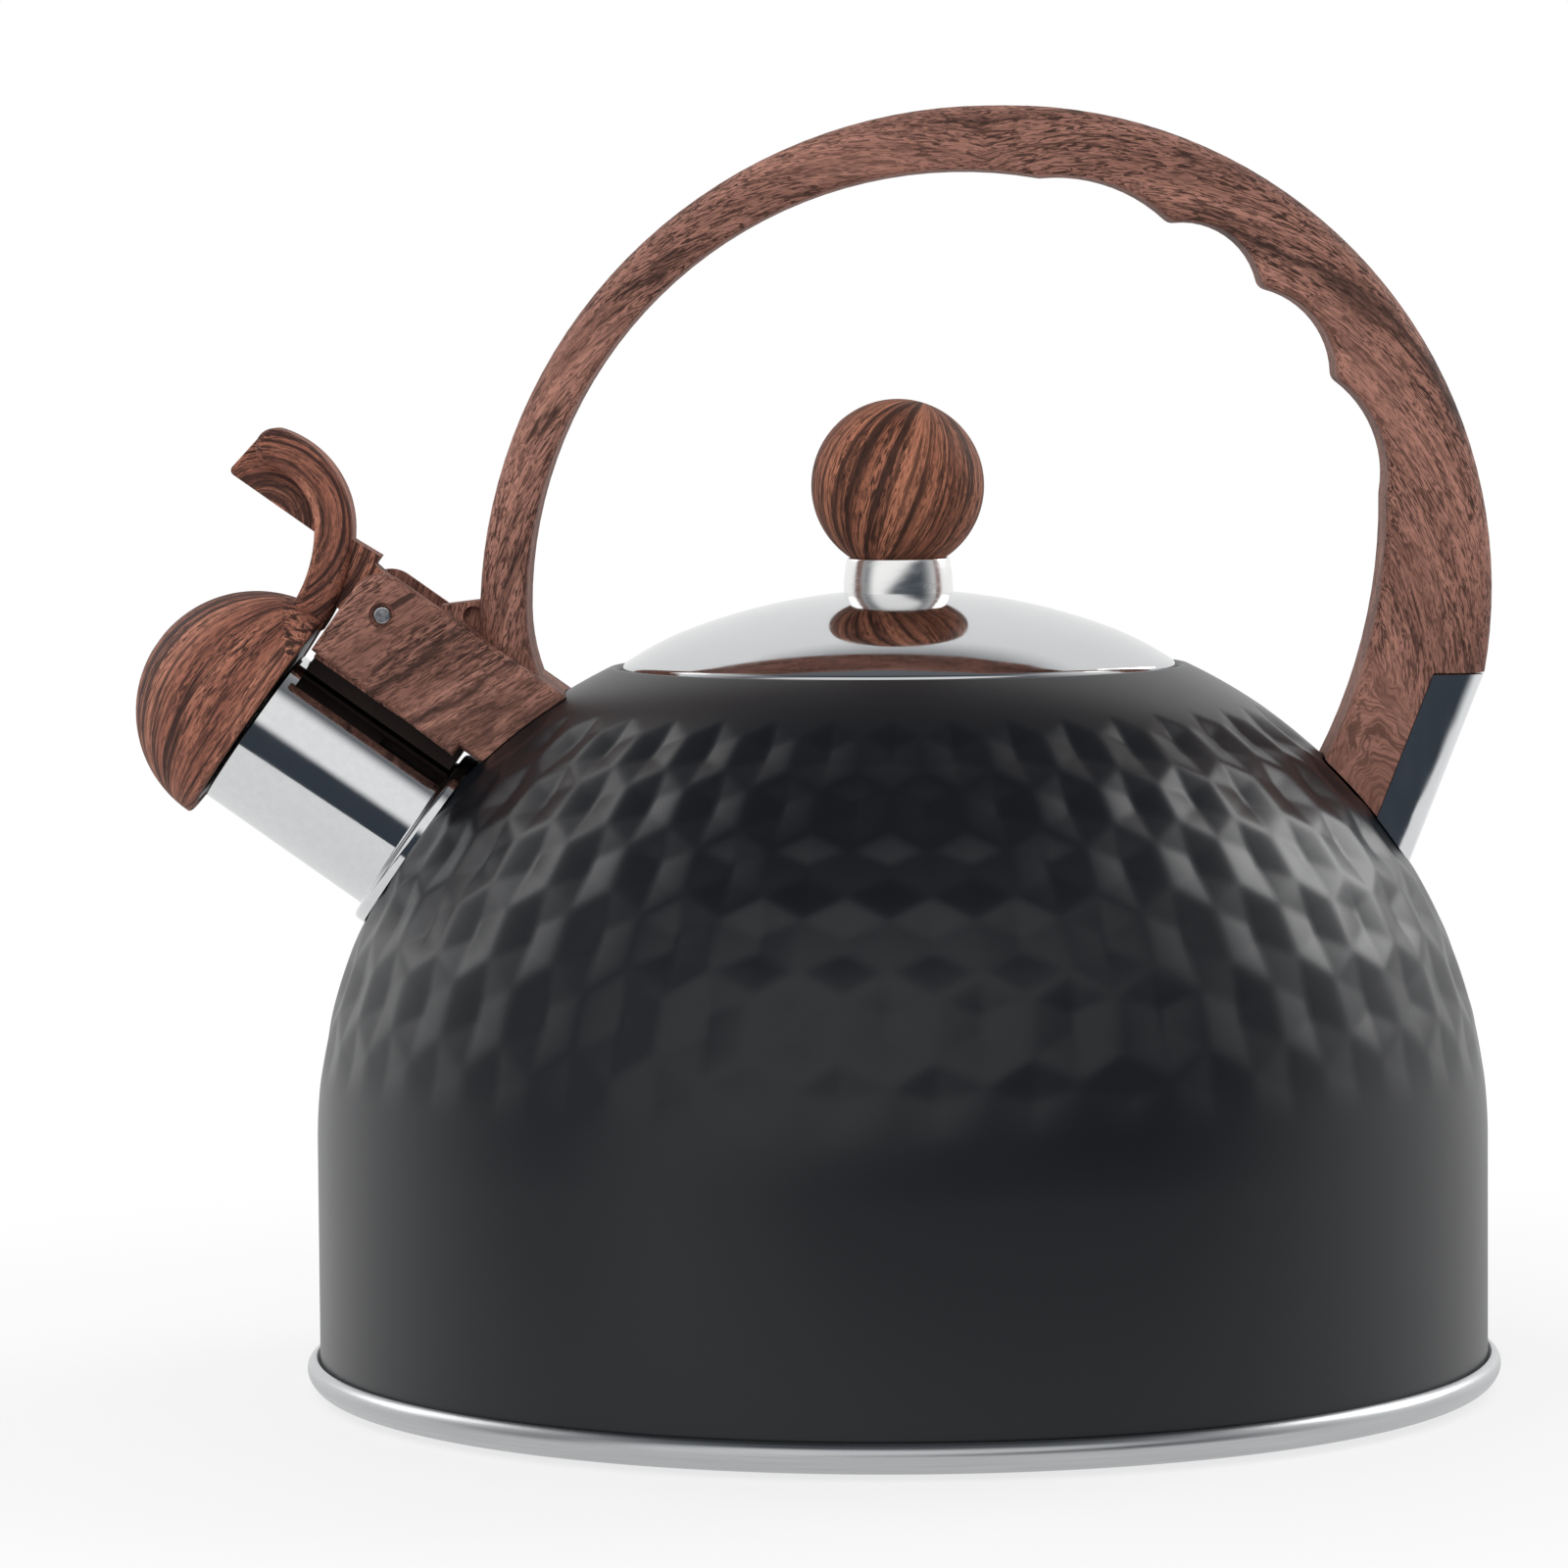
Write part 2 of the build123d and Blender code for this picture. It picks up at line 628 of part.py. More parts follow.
with BuildPart() as handle:
    with BuildSketch(Plane.XZ) as arch_outline:
        with BuildLine():
            back = CenterArc(back_centre, rear_arc, 90 - rear_arc_turn, rear_arc_turn)
            Line((crest_rear, handle_top), (crest_front, handle_top))
            front = CenterArc(front_centre, front_arc, 90, 90)
            flare_centre = (grip_x - grip_radius + leg_flare, grip_height)
            flare = CenterArc(flare_centre, leg_flare, 180, leg_flare_angle)
            leg_back = flare @ 1
            Polyline(
                front @ 1, (leg_front, shoulder_height), (leg_back.X, shoulder_height), leg_back
            )
            CenterArc((grip_x, grip_height), grip_radius, 180, scallop_angles[0] - 180)
            for here, there, depth in zip(grip_points, grip_points[1:], scallop_depths):
                SagittaArc(here, there, depth)
            SagittaArc(grip_points[-1], foot_point, foot_hollow)
            Polyline(foot_point, heel_point, back @ 0)
        make_face()
        cusps = [arch_outline.vertices().sort_by_distance(point)[0] for point in grip_points]
        fillet(cusps, scallop_edge_round)
    extrude(amount=half_handle, both=True)
    side_edges = [e for e in handle.edges() if abs((e @ 0.5).Y) > half_handle - 0.01]
    inner_edges = [e for e in side_edges if not on_outside(e @ 0.5)]
    fillet([e for e in inner_edges if e.geom_type != GeomType.LINE], arch_inner_round)
    side_edges = [e for e in handle.edges() if abs((e @ 0.5).Y) > half_handle - 0.01]
    fillet([e for e in side_edges if on_outside(e @ 0.5)], arch_outer_round)
    # Back foot, let into the channel
    add(channel_room.part, mode=Mode.SUBTRACT)
    # Housing cheeks
    cheek_end = dome_setback(cheek_top) + trim
    for side in (1, -1):
        with BuildSketch(spout_side.offset(side * half_handle)) as cheek_outline:
            with BuildLine():
                Polyline(
                    (-cheek_setback, cheek_front_bottom),
                    (-cheek_setback, cheek_top),
                    (-cheek_end, cheek_top),
                    (-cheek_end, cheek_back_bottom + cheek_notch),
                    (-notch_setback, cheek_back_bottom + cheek_notch),
                    (-notch_setback, cheek_back_bottom),
                    close=True,
                )
            make_face()
            corners = cheek_outline.vertices()
            fillet(corners.sort_by_distance((-cheek_setback, cheek_top))[0], cheek_corner)
        extrude(amount=side * cheek_thickness)
    outline_edges = [e for e in handle.edges() if abs((e @ 0.5).Y) > half_housing - 0.01]
    fillet(outline_edges, cheek_edge_round)
    # Block between the cheeks, which carries the front leg
    with BuildSketch(spout_side):
        with Locations((-block_front, block_bottom)):
            Rectangle(cheek_end - block_front, cheek_top - block_bottom, align=(Align.MAX, Align.MIN))
    extrude(amount=half_handle, both=True)
    # Floor of the hinge well between the cheeks, with a saddle under it that follows the spout
    with BuildSketch(spout_side):
        with Locations((-well_front, block_bottom)):
            Rectangle(block_front - well_front + 1, well_floor, align=(Align.MAX, Align.MAX))
    extrude(amount=half_handle, both=True)
    saddle_end = bead_run - saddle_bead_gap
    with BuildSketch(spout_side):
        with Locations((-well_front, block_bottom)):
            Rectangle(saddle_end - well_front, spout_radius / 2, align=(Align.MAX, Align.MAX))
    extrude(amount=saddle_width / 2, both=True)
    with BuildSketch(spout_mouth):
        Circle(spout_radius + saddle_clear)
    extrude(amount=-saddle_end - 1, mode=Mode.SUBTRACT)
    # Gusset in front of the leg, with a round dimple in each side
    gusset_run = 1.1 * gusset_rise
    with BuildSketch(spout_side):
        with BuildLine():
            Polyline(
                (-gusset_front, cheek_top),
                (-gusset_front - gusset_run, cheek_top + gusset_rise),
                (-gusset_front - gusset_run - trim, cheek_top + gusset_rise),
                (-gusset_front - gusset_run - trim, hinge_rise),
                (-block_front, hinge_rise),
                close=True,
            )
        make_face()
    extrude(amount=gusset_width / 2, both=True)
    for side in (1, -1):
        with BuildSketch(spout_side.offset(side * gusset_width / 2)):
            with Locations((-gusset_front - gusset_run, cheek_top + 0.31 * gusset_rise)):
                Circle(gusset_dimple_radius)
        extrude(amount=-side * gusset_dimple_depth, mode=Mode.SUBTRACT)
    # Fit on the dome and round the welded bracket
    add(body_fill_gap, mode=Mode.SUBTRACT)
    add(pad_room.part, mode=Mode.SUBTRACT)
    # Front screw: clearance and head pocket on the far side, thread on the near side
    with BuildSketch(spout_side.offset(far_face)):
        with Locations((-front_screw_setback, bracket_level)):
            Circle(screw_head_radius + screw_head_fit)
    extrude(amount=half_housing, mode=Mode.SUBTRACT)
    with BuildSketch(spout_side.offset(far_face)):
        with Locations((-front_screw_setback, bracket_level)):
            Circle(screw_radius + screw_hole_fit)
    extrude(amount=-far_face, mode=Mode.SUBTRACT)
    with BuildSketch(spout_side.offset(far_face)):
        with Locations((-front_screw_setback, bracket_level)):
            Circle(screw_radius + thread_fit)
    extrude(amount=-(front_screw_length + screw_tip_room), mode=Mode.SUBTRACT)
    # Back screw
    with BuildSketch(screw_drive):
        Circle(screw_radius + thread_fit)
    extrude(amount=channel_sheet + rear_screw_length + screw_tip_room, mode=Mode.SUBTRACT)
    # Hinge pin, with a sunk ring round each end
    with BuildSketch(spout_side):
        with Locations((-hinge_setback, hinge_rise)):
            Circle(pin_radius + pin_seat_fit)
    extrude(amount=half_housing + 1, both=True, mode=Mode.SUBTRACT)
    for side in (1, -1):
        with BuildSketch(spout_side.offset(side * half_housing)):
            with Locations((-hinge_setback, hinge_rise)):
                Circle(pin_sink_radius)
        extrude(amount=-side * pin_sink_depth, mode=Mode.SUBTRACT)
    # Hole for the fixed leg of the spring
    with BuildSketch(Plane(origin=leg_tip, z_dir=coil_start)):
        Circle(wire_radius + spring_hole_fit)
    extrude(amount=spring_hole_depth + 2, mode=Mode.SUBTRACT)

# Hinge pin of the cap
with BuildPart() as cap_pin:
    with BuildSketch(spout_side.offset(-(half_housing - pin_inset))):
        with Locations((-hinge_setback, hinge_rise)):
            Circle(pin_radius)
    extrude(amount=2 * (half_housing - pin_inset))
    ends = cap_pin.edges().filter_by(GeomType.CIRCLE)
    fillet(ends, pin_radius * 0.25)

# Closing spring: one wire from the hole in the housing, round the pin, over the hinge arm
with BuildPart() as cap_spring:
    with BuildLine() as spring_wire:
        Line(leg_tip, coil_points[0])
        for first, middle, last in zip(coil_points[0:-1:2], coil_points[1::2], coil_points[2::2]):
            ThreePointArc(first, middle, last)
        Line(coil_points[-1], bend_start)
        TangentArc(bend_start, bend_end, tangent=coil_finish)
        Line(bend_end, wire_end)
    with BuildSketch(Plane(origin=leg_tip, z_dir=coil_start)):
        Circle(wire_radius)
    sweep(path=spring_wire.wire())
wire_path = spring_wire.wire()
wire_spots = [wire_path @ (step / wire_samples) for step in range(wire_samples + 1)]
half_turn = round(wire_samples * math.pi * coil_radius / wire_path.length)
wire_gaps = []
for step, spot in enumerate(wire_spots):
    wire_gaps += [(spot - other).length - 2 * wire_radius for other in wire_spots[step + half_turn :]]
print("least gap between the spring's turns", round(min(wire_gaps), 3))

# Swan-neck lever with its round end
neck_half = lever_thickness / 2
sweep_centre = (cap_face - lever_overhang + neck_half + lever_sweep_radius, lever_root)
crook_start = 180 - lever_sweep_angle
crook_turn = math.radians(crook_start)
crook_centre = (
    sweep_centre[0] + (lever_sweep_radius - lever_crook_radius) * math.cos(crook_turn),
    sweep_centre[1] + (lever_sweep_radius - lever_crook_radius) * math.sin(crook_turn),
)
end_turn = math.radians(crook_start - lever_crook_angle)
neck_end = (
    crook_centre[0] + lever_crook_radius * math.cos(end_turn),
    crook_centre[1] + lever_crook_radius * math.sin(end_turn),
)
neck_joint = (
    crook_centre[0] + lever_crook_radius * math.cos(crook_turn),
    crook_centre[1] + lever_crook_radius * math.sin(crook_turn),
)
neck_tip = (neck_end[0] + neck_half * math.sin(end_turn), neck_end[1] - neck_half * math.cos(end_turn))
# Thumb beak: its upper edge runs from the tip on to the round end of the neck
beak_tip = (neck_end[0] + beak_reach, beak_level)
beak_fall = beak_level - neck_end[1]
beak_far = math.hypot(beak_reach, beak_fall)
beak_turn = math.atan2(beak_fall, beak_reach) + math.acos(neck_half / beak_far)
beak_top = (neck_end[0] + neck_half * math.cos(beak_turn), neck_end[1] + neck_half * math.sin(beak_turn))
with BuildPart() as lever:
    with BuildSketch(spout_side):
        with BuildLine():
            root_back = CenterArc(sweep_centre, lever_sweep_radius + neck_half, 180, -lever_sweep_angle)
            crook_back = CenterArc(
                crook_centre, lever_crook_radius + neck_half, crook_start, -lever_crook_angle
            )
            crook_front = CenterArc(
                crook_centre, lever_crook_radius - neck_half, crook_start, -lever_crook_angle
            )
            root_front = CenterArc(sweep_centre, lever_sweep_radius - neck_half, 180, -lever_sweep_angle)
            ThreePointArc(crook_back @ 1, neck_tip, crook_front @ 1)
            Line(root_back @ 0, root_front @ 0)
        make_face()
    extrude(amount=lever_width / 2, both=True)
    edges = [e for e in lever.edges() if abs((e @ 0.5).Y) > lever_width / 2 - 0.01]
    edges = [e for e in edges if e.geom_type != GeomType.LINE]
    fillet(edges, lever_edge_round)

# Whistle cap: hollow half ball with the lever, the thumb beak and the hinge arm
with BuildPart() as spout_cap:
    with BuildSketch(spout_side) as ball_half:
        with Locations((cap_centre_out, cap_rise)):
            Circle(cap_radius)
        with Locations((cap_face, cap_rise)):
            Rectangle(2 * cap_radius, 2 * cap_radius, align=(Align.MIN, Align.MIN), mode=Mode.INTERSECT)
        corners = ball_half.vertices()
        fillet(corners.sort_by_distance((cap_face, cap_rise + cap_radius))[0], cap_edge_round)
    revolve(axis=cap_line)
    add(lever.part)
    with BuildSketch(spout_side) as beak_outline:
        with BuildLine():
            Polyline(
                neck_end,
                beak_top,
                beak_tip,
                (neck_joint[0] + 1, beak_level),
                neck_joint,
                close=True,
            )
        make_face()
        fillet(beak_outline.vertices().sort_by_distance(beak_tip)[0], beak_blunt)
    extrude(amount=beak_thickness / 2, both=True)
    with BuildSketch(spout_side):
        with BuildLine():
            Polyline(
                (cap_face + neck_half, arm_foot),
                (neck_joint[0], arm_top - arm_top_fall),
                (-arm_setback, arm_top),
                (-arm_setback, arm_top - arm_step),
                (-hinge_setback, hinge_rise + knuckle_radius),
                (-hinge_setback, hinge_rise - knuckle_radius),
                close=True,
            )
        make_face()
        with Locations((-hinge_setback, hinge_rise)):
            Circle(knuckle_radius)
    extrude(amount=arm_width / 2, both=True)
    with BuildSketch(spout_side.offset(knuckle_far_end)):
        with Locations((-hinge_setback, hinge_rise)):
            Circle(knuckle_radius)
    extrude(amount=-(knuckle_far_end + half_handle - knuckle_gap))
    with BuildSketch(spout_side):
        with Locations((-hinge_setback, hinge_rise)):
            Circle(pin_radius + pin_running_fit)
    extrude(amount=half_handle, both=True, mode=Mode.SUBTRACT)
    # Blind hole in the far side of the hinge arm for the moving leg of the spring
    with BuildSketch(spout_side.offset(arm_width / 2)):
        with Locations(spout_side.to_local_coords(Vector(bend_corner.X, 0, bend_corner.Z))):
            Circle(wire_radius + spring_seat_fit)
    extrude(amount=-catch_depth, mode=Mode.SUBTRACT)
    # Hollow for the whistle, and the hole that lets the steam out
    with BuildSketch(spout_side):
        with Locations((cap_centre_out, cap_rise)):
            Circle(cap_cavity_radius)
        with Locations((cap_face + whistle_flange_depth, cap_rise)):
            Rectangle(2 * cap_radius, 2 * cap_radius, align=(Align.MIN, Align.MIN), mode=Mode.INTERSECT)
        with Locations((cap_face, cap_rise)):
            Rectangle(
                whistle_flange_depth, whistle_flange_radius + whistle_fit, align=(Align.MIN, Align.MIN)
            )
    revolve(axis=cap_line, mode=Mode.SUBTRACT)
    with BuildSketch(spout_mouth.offset(cap_centre_out)):
        with Locations(spout_mouth.to_local_coords(cap_line.position)):
            Circle(steam_vent_radius)
    extrude(amount=2 * cap_radius, mode=Mode.SUBTRACT)

# Whistle: flanged tube under the cap with two drilled plates pressed in
with BuildPart() as whistle_cup:
    with BuildSketch(spout_side):
        with Locations((cap_face + whistle_flange_depth - whistle_sheet, cap_rise + whistle_tube_radius)):
            Rectangle(
                whistle_sheet, whistle_flange_radius - whistle_tube_radius, align=(Align.MIN, Align.MIN)
            )
            Rectangle(whistle_tube_depth, whistle_sheet, align=(Align.MIN, Align.MAX))
    revolve(axis=cap_line)

plate_radius = whistle_tube_radius - whistle_sheet - whistle_fit
inlet_at = cap_face + whistle_inlet_depth
with BuildPart() as whistle_inlet:
    with BuildSketch(spout_side):
        with Locations((inlet_at, cap_rise + whistle_hole_radius)):
            Rectangle(whistle_sheet, plate_radius - whistle_hole_radius, align=(Align.MIN, Align.MIN))
    revolve(axis=cap_line)

with BuildPart() as whistle_outlet:
    with BuildSketch(spout_side):
        with Locations((inlet_at + whistle_plate_space, cap_rise + whistle_hole_radius)):
            Rectangle(whistle_sheet, plate_radius - whistle_hole_radius, align=(Align.MIN, Align.MIN))
    revolve(axis=cap_line)

# Lid: spun dome with a short turned rim
with BuildPart() as lid_shell:
    stud_hole = screw_radius + screw_hole_fit
    with BuildSketch(Plane.XZ) as lid_profile:
        with BuildLine():
            inner_reach = lid_radius - lid_sheet
            dome_mid = lid_radius / 2
            ThreePointArc(
                (stud_hole, lid_top(stud_hole)), (dome_mid, lid_top(dome_mid)), (lid_radius, lid_rim_z)
            )
            Polyline(
                (lid_radius, lid_rim_z),
                (lid_radius, seat_height),
                (inner_reach, seat_height),
                (inner_reach, lid_under(inner_reach)),
            )
            ThreePointArc(
                (inner_reach, lid_under(inner_reach)),
                (dome_mid, lid_under(dome_mid)),
                (stud_hole, lid_under(stud_hole)),
            )
            Line((stud_hole, lid_under(stud_hole)), (stud_hole, lid_top(stud_hole)))
        make_face()
        corners = lid_profile.vertices()
        fillet(corners.sort_by_distance((lid_radius, lid_rim_z))[0], lid_rim_round)
    revolve(axis=Axis.Z)

# Skirt: ring welded under the lid, which keeps it in the mouth
with BuildPart() as lid_skirt:
    skirt_outer = mouth_radius - skirt_fit
    skirt_inner = skirt_outer - skirt_sheet
    with BuildSketch(Plane.XZ):
        with BuildLine():
            Polyline(
                (skirt_inner, lid_under(skirt_outer) - skirt_join),
                (skirt_inner, seat_height - skirt_depth),
                (skirt_outer, seat_height - skirt_depth),
                (skirt_outer, lid_under(skirt_outer) - skirt_join),
                close=True,
            )
        make_face()
    revolve(axis=Axis.Z)

# Ferrule between the lid and the knob: spun steel cup, open below
with BuildPart() as knob_ferrule:
    ferrule_roof = knob_foot - ferrule_sheet
    inside = ferrule_foot_radius - ferrule_sheet
    with BuildSketch(Plane.XZ) as ferrule_profile:
        with BuildLine():
            Polyline(
                (stud_hole, knob_foot),
                (ferrule_top_radius, knob_foot),
                (ferrule_top_radius, knob_foot - ferrule_lip),
                (ferrule_waist_radius, knob_foot - ferrule_waist_drop),
                (ferrule_foot_radius, ferrule_foot + ferrule_lip),
                (ferrule_foot_radius, ferrule_foot),
                (inside, lid_top(inside) + skirt_join),
                (inside - ferrule_draft, ferrule_roof),
                (stud_hole, ferrule_roof),
                close=True,
            )
        make_face()
        corners = ferrule_profile.vertices()
        fillet(corners.sort_by_distance((ferrule_top_radius, knob_foot))[0], ferrule_round)
    revolve(axis=Axis.Z)

# Knob: ball with a flat foot and a blind bore
with BuildPart() as knob_ball:
    with BuildSketch(Plane.XZ):
        with BuildLine():
            ThreePointArc(
                (knob_flat_radius, knob_foot), (knob_radius, knob_centre), (0, knob_centre + knob_radius)
            )
            Polyline(
                (0, knob_centre + knob_radius),
                (0, knob_foot + knob_bore_depth),
                (screw_radius + thread_fit, knob_foot + knob_bore_depth),
                (screw_radius + thread_fit, knob_foot),
                (knob_flat_radius, knob_foot),
            )
        make_face()
    revolve(axis=Axis.Z)

# Washer and screw that hold the knob from inside the lid
washer_top = lid_under(washer_radius)
with BuildPart() as knob_washer:
    with BuildSketch(Plane.XY.offset(washer_top - washer_thickness)):
        Circle(washer_radius)
        Circle(stud_hole, mode=Mode.SUBTRACT)
    extrude(amount=washer_thickness)

with BuildPart() as knob_screw:
    head_top = washer_top - washer_thickness
    with BuildSketch(Plane.XY.offset(head_top)):
        Circle(screw_head_radius)
    extrude(amount=-screw_head_height)
    fillet(knob_screw.faces().sort_by(Axis.Z)[0].edges(), screw_head_height * 0.3)
    with BuildSketch(Plane.XY.offset(head_top)):
        Circle(screw_radius)
    extrude(amount=knob_foot + knob_bore_depth - knob_screw_clear - head_top)
    with BuildSketch(Plane.XY.offset(head_top - screw_head_height)):
        Rectangle(screw_slot_width, screw_slot_length)
        Rectangle(screw_slot_length, screw_slot_width)
    extrude(amount=screw_slot_depth, mode=Mode.SUBTRACT)

# Each piece is named and written on its own
pieces = {
    "kettle_body": kettle_body,
    "mouth_ring": mouth_ring,
    "base_pan": base_pan,
    "heat_spreader": heat_spreader,
    "base_cap": base_cap,
    "spout_tube": spout_tube,
    "front_bracket": front_bracket,
    "front_screw": front_screw,
    "rear_bracket": rear_bracket,
    "rear_screw": rear_screw,
    "handle": handle,
    "cap_pin": cap_pin,
    "cap_spring": cap_spring,
    "spout_cap": spout_cap,
    "whistle_cup": whistle_cup,
    "whistle_inlet": whistle_inlet,
    "whistle_outlet": whistle_outlet,
    "lid_shell": lid_shell,
    "lid_skirt": lid_skirt,
    "knob_ferrule": knob_ferrule,
    "knob_ball": knob_ball,
    "knob_washer": knob_washer,
    "knob_screw": knob_screw,
}
for name, piece in pieces.items():
    piece.part.label = name
    export_step(piece.part, f"parts/{name}.step")
    print(name, round(piece.part.volume, 1), piece.part.is_valid, len(piece.part.solids()))
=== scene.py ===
import math

import bmesh
import bpy
from mathutils import Matrix, Vector


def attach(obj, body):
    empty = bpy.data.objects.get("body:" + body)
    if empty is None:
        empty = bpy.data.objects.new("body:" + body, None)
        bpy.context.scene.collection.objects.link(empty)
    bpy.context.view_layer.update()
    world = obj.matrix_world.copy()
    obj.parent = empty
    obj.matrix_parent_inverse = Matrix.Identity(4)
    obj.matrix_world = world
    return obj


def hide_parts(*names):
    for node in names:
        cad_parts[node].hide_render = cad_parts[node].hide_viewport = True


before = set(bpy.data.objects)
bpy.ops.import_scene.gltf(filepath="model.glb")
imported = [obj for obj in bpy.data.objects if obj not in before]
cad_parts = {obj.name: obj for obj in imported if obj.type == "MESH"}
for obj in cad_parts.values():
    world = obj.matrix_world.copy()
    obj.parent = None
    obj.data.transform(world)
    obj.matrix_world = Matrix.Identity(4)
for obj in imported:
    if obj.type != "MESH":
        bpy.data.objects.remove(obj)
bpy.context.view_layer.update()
mm = 0.001

# Base: a pressed stainless pan with a rolled rim, an aluminium disc under it and a shallow steel cup
# over the disc. The three are pressed together, and the pan is seamed to the body's lower edge.
# The rim is brushed round its edge, and the rolled disc shows straight lines.
pan_floor = 3.0
pan_sheet = 0.8
pan_steps = 360
moat_inner = 87.75
moat_outer = 89.95
moat_slope = 0.4 * pan_sheet
rim_foot = 0.8
belly_reach = 93.6
belly_round = 3.562
belly_turn = 72.65
crown_reach = 95.118
crown_level = 3.888
crown_turn = 93.2
groove_outer = 95.05
groove_inner = 94.15
groove_floor = 2.4
groove_lip = 5.3
lip_inner = 93.35
brushed_dark, brushed_light = (0.44, 0.45, 0.46), (0.60, 0.61, 0.62)
rolled_dark, rolled_light = (0.66, 0.66, 0.66), (0.78, 0.78, 0.79)


def put(tree, kind, inputs=None, **settings):
    """Adds a node to a finish. Its inputs are numbers, colours or another node's socket."""
    made = tree.nodes.new("ShaderNode" + kind)
    for setting, value in settings.items():
        setattr(made, setting, value)
    for place, value in (inputs or {}).items():
        if isinstance(value, bpy.types.NodeSocket):
            tree.links.new(value, made.inputs[place])
        else:
            made.inputs[place].default_value = value
    return made


def new_finish(name, **sockets):
    """A new finish with its shader, whose even values are set on the shader's own sockets."""
    finish = bpy.data.materials.new(name)
    finish.use_nodes = True
    shader = finish.node_tree.nodes["Principled BSDF"]
    for socket, value in sockets.items():
        shader.inputs[socket.replace("_", " ")].default_value = value
    return finish, finish.node_tree, shader


def maths(tree, operation, first, second=0.0):
    """One sum on two sockets or numbers."""
    return put(tree, "Math", {0: first, 1: second}, operation=operation).outputs[0]


def ramp(tree, value, low, high, low_out=0.0, high_out=1.0):
    """Spreads a value between two limits, softly."""
    ends = {"Value": value, "From Min": low, "From Max": high, "To Min": low_out, "To Max": high_out}
    return put(tree, "MapRange", ends, interpolation_type="SMOOTHSTEP").outputs["Result"]


def mix_tones(tree, amount, first, second):
    """Mixes two colours."""
    mixer = put(tree, "Mix", {"Factor": amount, "A": (0, 0, 0, 1), "B": (0, 0, 0, 1)}, data_type="RGBA")
    for place, tone in ((6, first), (7, second)):
        if isinstance(tone, bpy.types.NodeSocket):
            tree.links.new(tone, mixer.inputs[place])
        else:
            mixer.inputs[place].default_value = (*tone, 1)
    return mixer.outputs[2]


def where(tree):
    """Where a spot of a piece lies, in metres."""
    return put(tree, "TexCoord").outputs["Object"]


def parts(tree, vector):
    """The three parts of a vector."""
    return put(tree, "SeparateXYZ", {0: vector}).outputs


def joined(tree, first, second, third=0.0):
    """One vector from its three parts."""
    return put(tree, "CombineXYZ", {0: first, 1: second, 2: third}).outputs[0]


def length(tree, vector):
    """The length of a vector."""
    return put(tree, "VectorMath", {0: vector}, operation="LENGTH").outputs["Value"]


def round_the_axis(tree):
    """Angle round the kettle's axis, distance from it and height, as one vector in metres."""
    spot = parts(tree, where(tree))
    turn = maths(tree, "ARCTAN2", spot[1], spot[0])
    reach = length(tree, joined(tree, spot[0], spot[1]))
    return joined(tree, turn, reach, spot[2])


def grain(tree, vector, scale, detail=3.0, rough=0.5, warp=0.0):
    """Noise drawn out along a direction by uneven scales."""
    stretched = put(tree, "Mapping", {"Vector": vector, "Scale": scale}).outputs[0]
    inputs = {"Vector": stretched, "Scale": 1.0, "Detail": detail, "Roughness": rough, "Distortion": warp}
    return put(tree, "TexNoise", inputs).outputs["Fac"]


def tint(tree, shader, pattern, dark, light):
    """Colours a finish from one tone to another by a pattern."""
    tree.links.new(mix_tones(tree, pattern, dark, light), shader.inputs["Base Color"])


def dull(tree, shader, pattern, least, most):
    """Makes a finish less or more rough by a pattern, most of which lies between 0.3 and 0.7."""
    tree.links.new(ramp(tree, pattern, 0.3, 0.7, least, most), shader.inputs["Roughness"])


def roughen(tree, shader, pattern, strength, depth):
    """Raises a fine relief on a finish."""
    bump = put(tree, "Bump", {"Strength": strength, "Distance": depth * mm, "Height": pattern})
    tree.links.new(bump.outputs[0], shader.inputs["Normal"])


def dress(finish, *names):
    """Gives pieces of the frame their finish."""
    for name in names:
        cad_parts[name].material_slots[0].material = finish


def draw_to(mesh, end, reach, height):
    """Draws a straight line of a profile on from its end, and gives the new end."""
    end = bmesh.ops.extrude_vert_indiv(mesh, verts=[end])["verts"][0]
    end.co = Vector((reach, 0, height)) * mm
    return end


def draw_arc(mesh, end, reach, height, angle, steps):
    """Draws an arc of a profile round a centre on from its end, and gives the new end."""
    centre = Vector((reach, 0, height)) * mm
    turned = bmesh.ops.spin(
        mesh, geom=[end], cent=centre, axis=(0, 1, 0), angle=-math.radians(angle), steps=steps
    )
    return turned["geom_last"][0]


def turn_round(mesh, steps):
    """Turns a profile right round the kettle's axis and joins what meets."""
    bmesh.ops.spin(
        mesh, geom=mesh.verts[:] + mesh.edges[:], cent=(0, 0, 0), axis=(0, 0, 1),
        angle=math.tau, steps=steps, use_merge=True,
    )
    bmesh.ops.remove_doubles(mesh, verts=mesh.verts[:], dist=0.01 * mm)
    bmesh.ops.recalc_face_normals(mesh, faces=mesh.faces[:])


def finish_piece(mesh, name, finish, body, sharp=35.0):
    """Turns a mesh into a piece of the kettle that rides on a body, smooth but for its sharp edges."""
    for face in mesh.faces:
        face.smooth = True
    for edge in mesh.edges:
        if edge.is_manifold:
            edge.smooth = edge.calc_face_angle() < math.radians(sharp)
    data = bpy.data.meshes.new(name)
    mesh.to_mesh(data)
    mesh.free()
    piece = bpy.data.objects.new(name, data)
    bpy.context.scene.collection.objects.link(piece)
    data.materials.append(finish)
    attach(piece, body)
    return piece


satin_steel, tree, shader = new_finish("satin_steel_brushed", Metallic=1.0)
ring = round_the_axis(tree)
streaks = grain(tree, ring, (5, 2600, 2600), detail=4.0)
tint(tree, shader, streaks, brushed_dark, brushed_light)
dull(tree, shader, grain(tree, ring, (2, 40, 40)), least=0.24, most=0.34)
roughen(tree, shader, streaks, strength=0.12, depth=0.05)
dress(satin_steel, "base_cap")

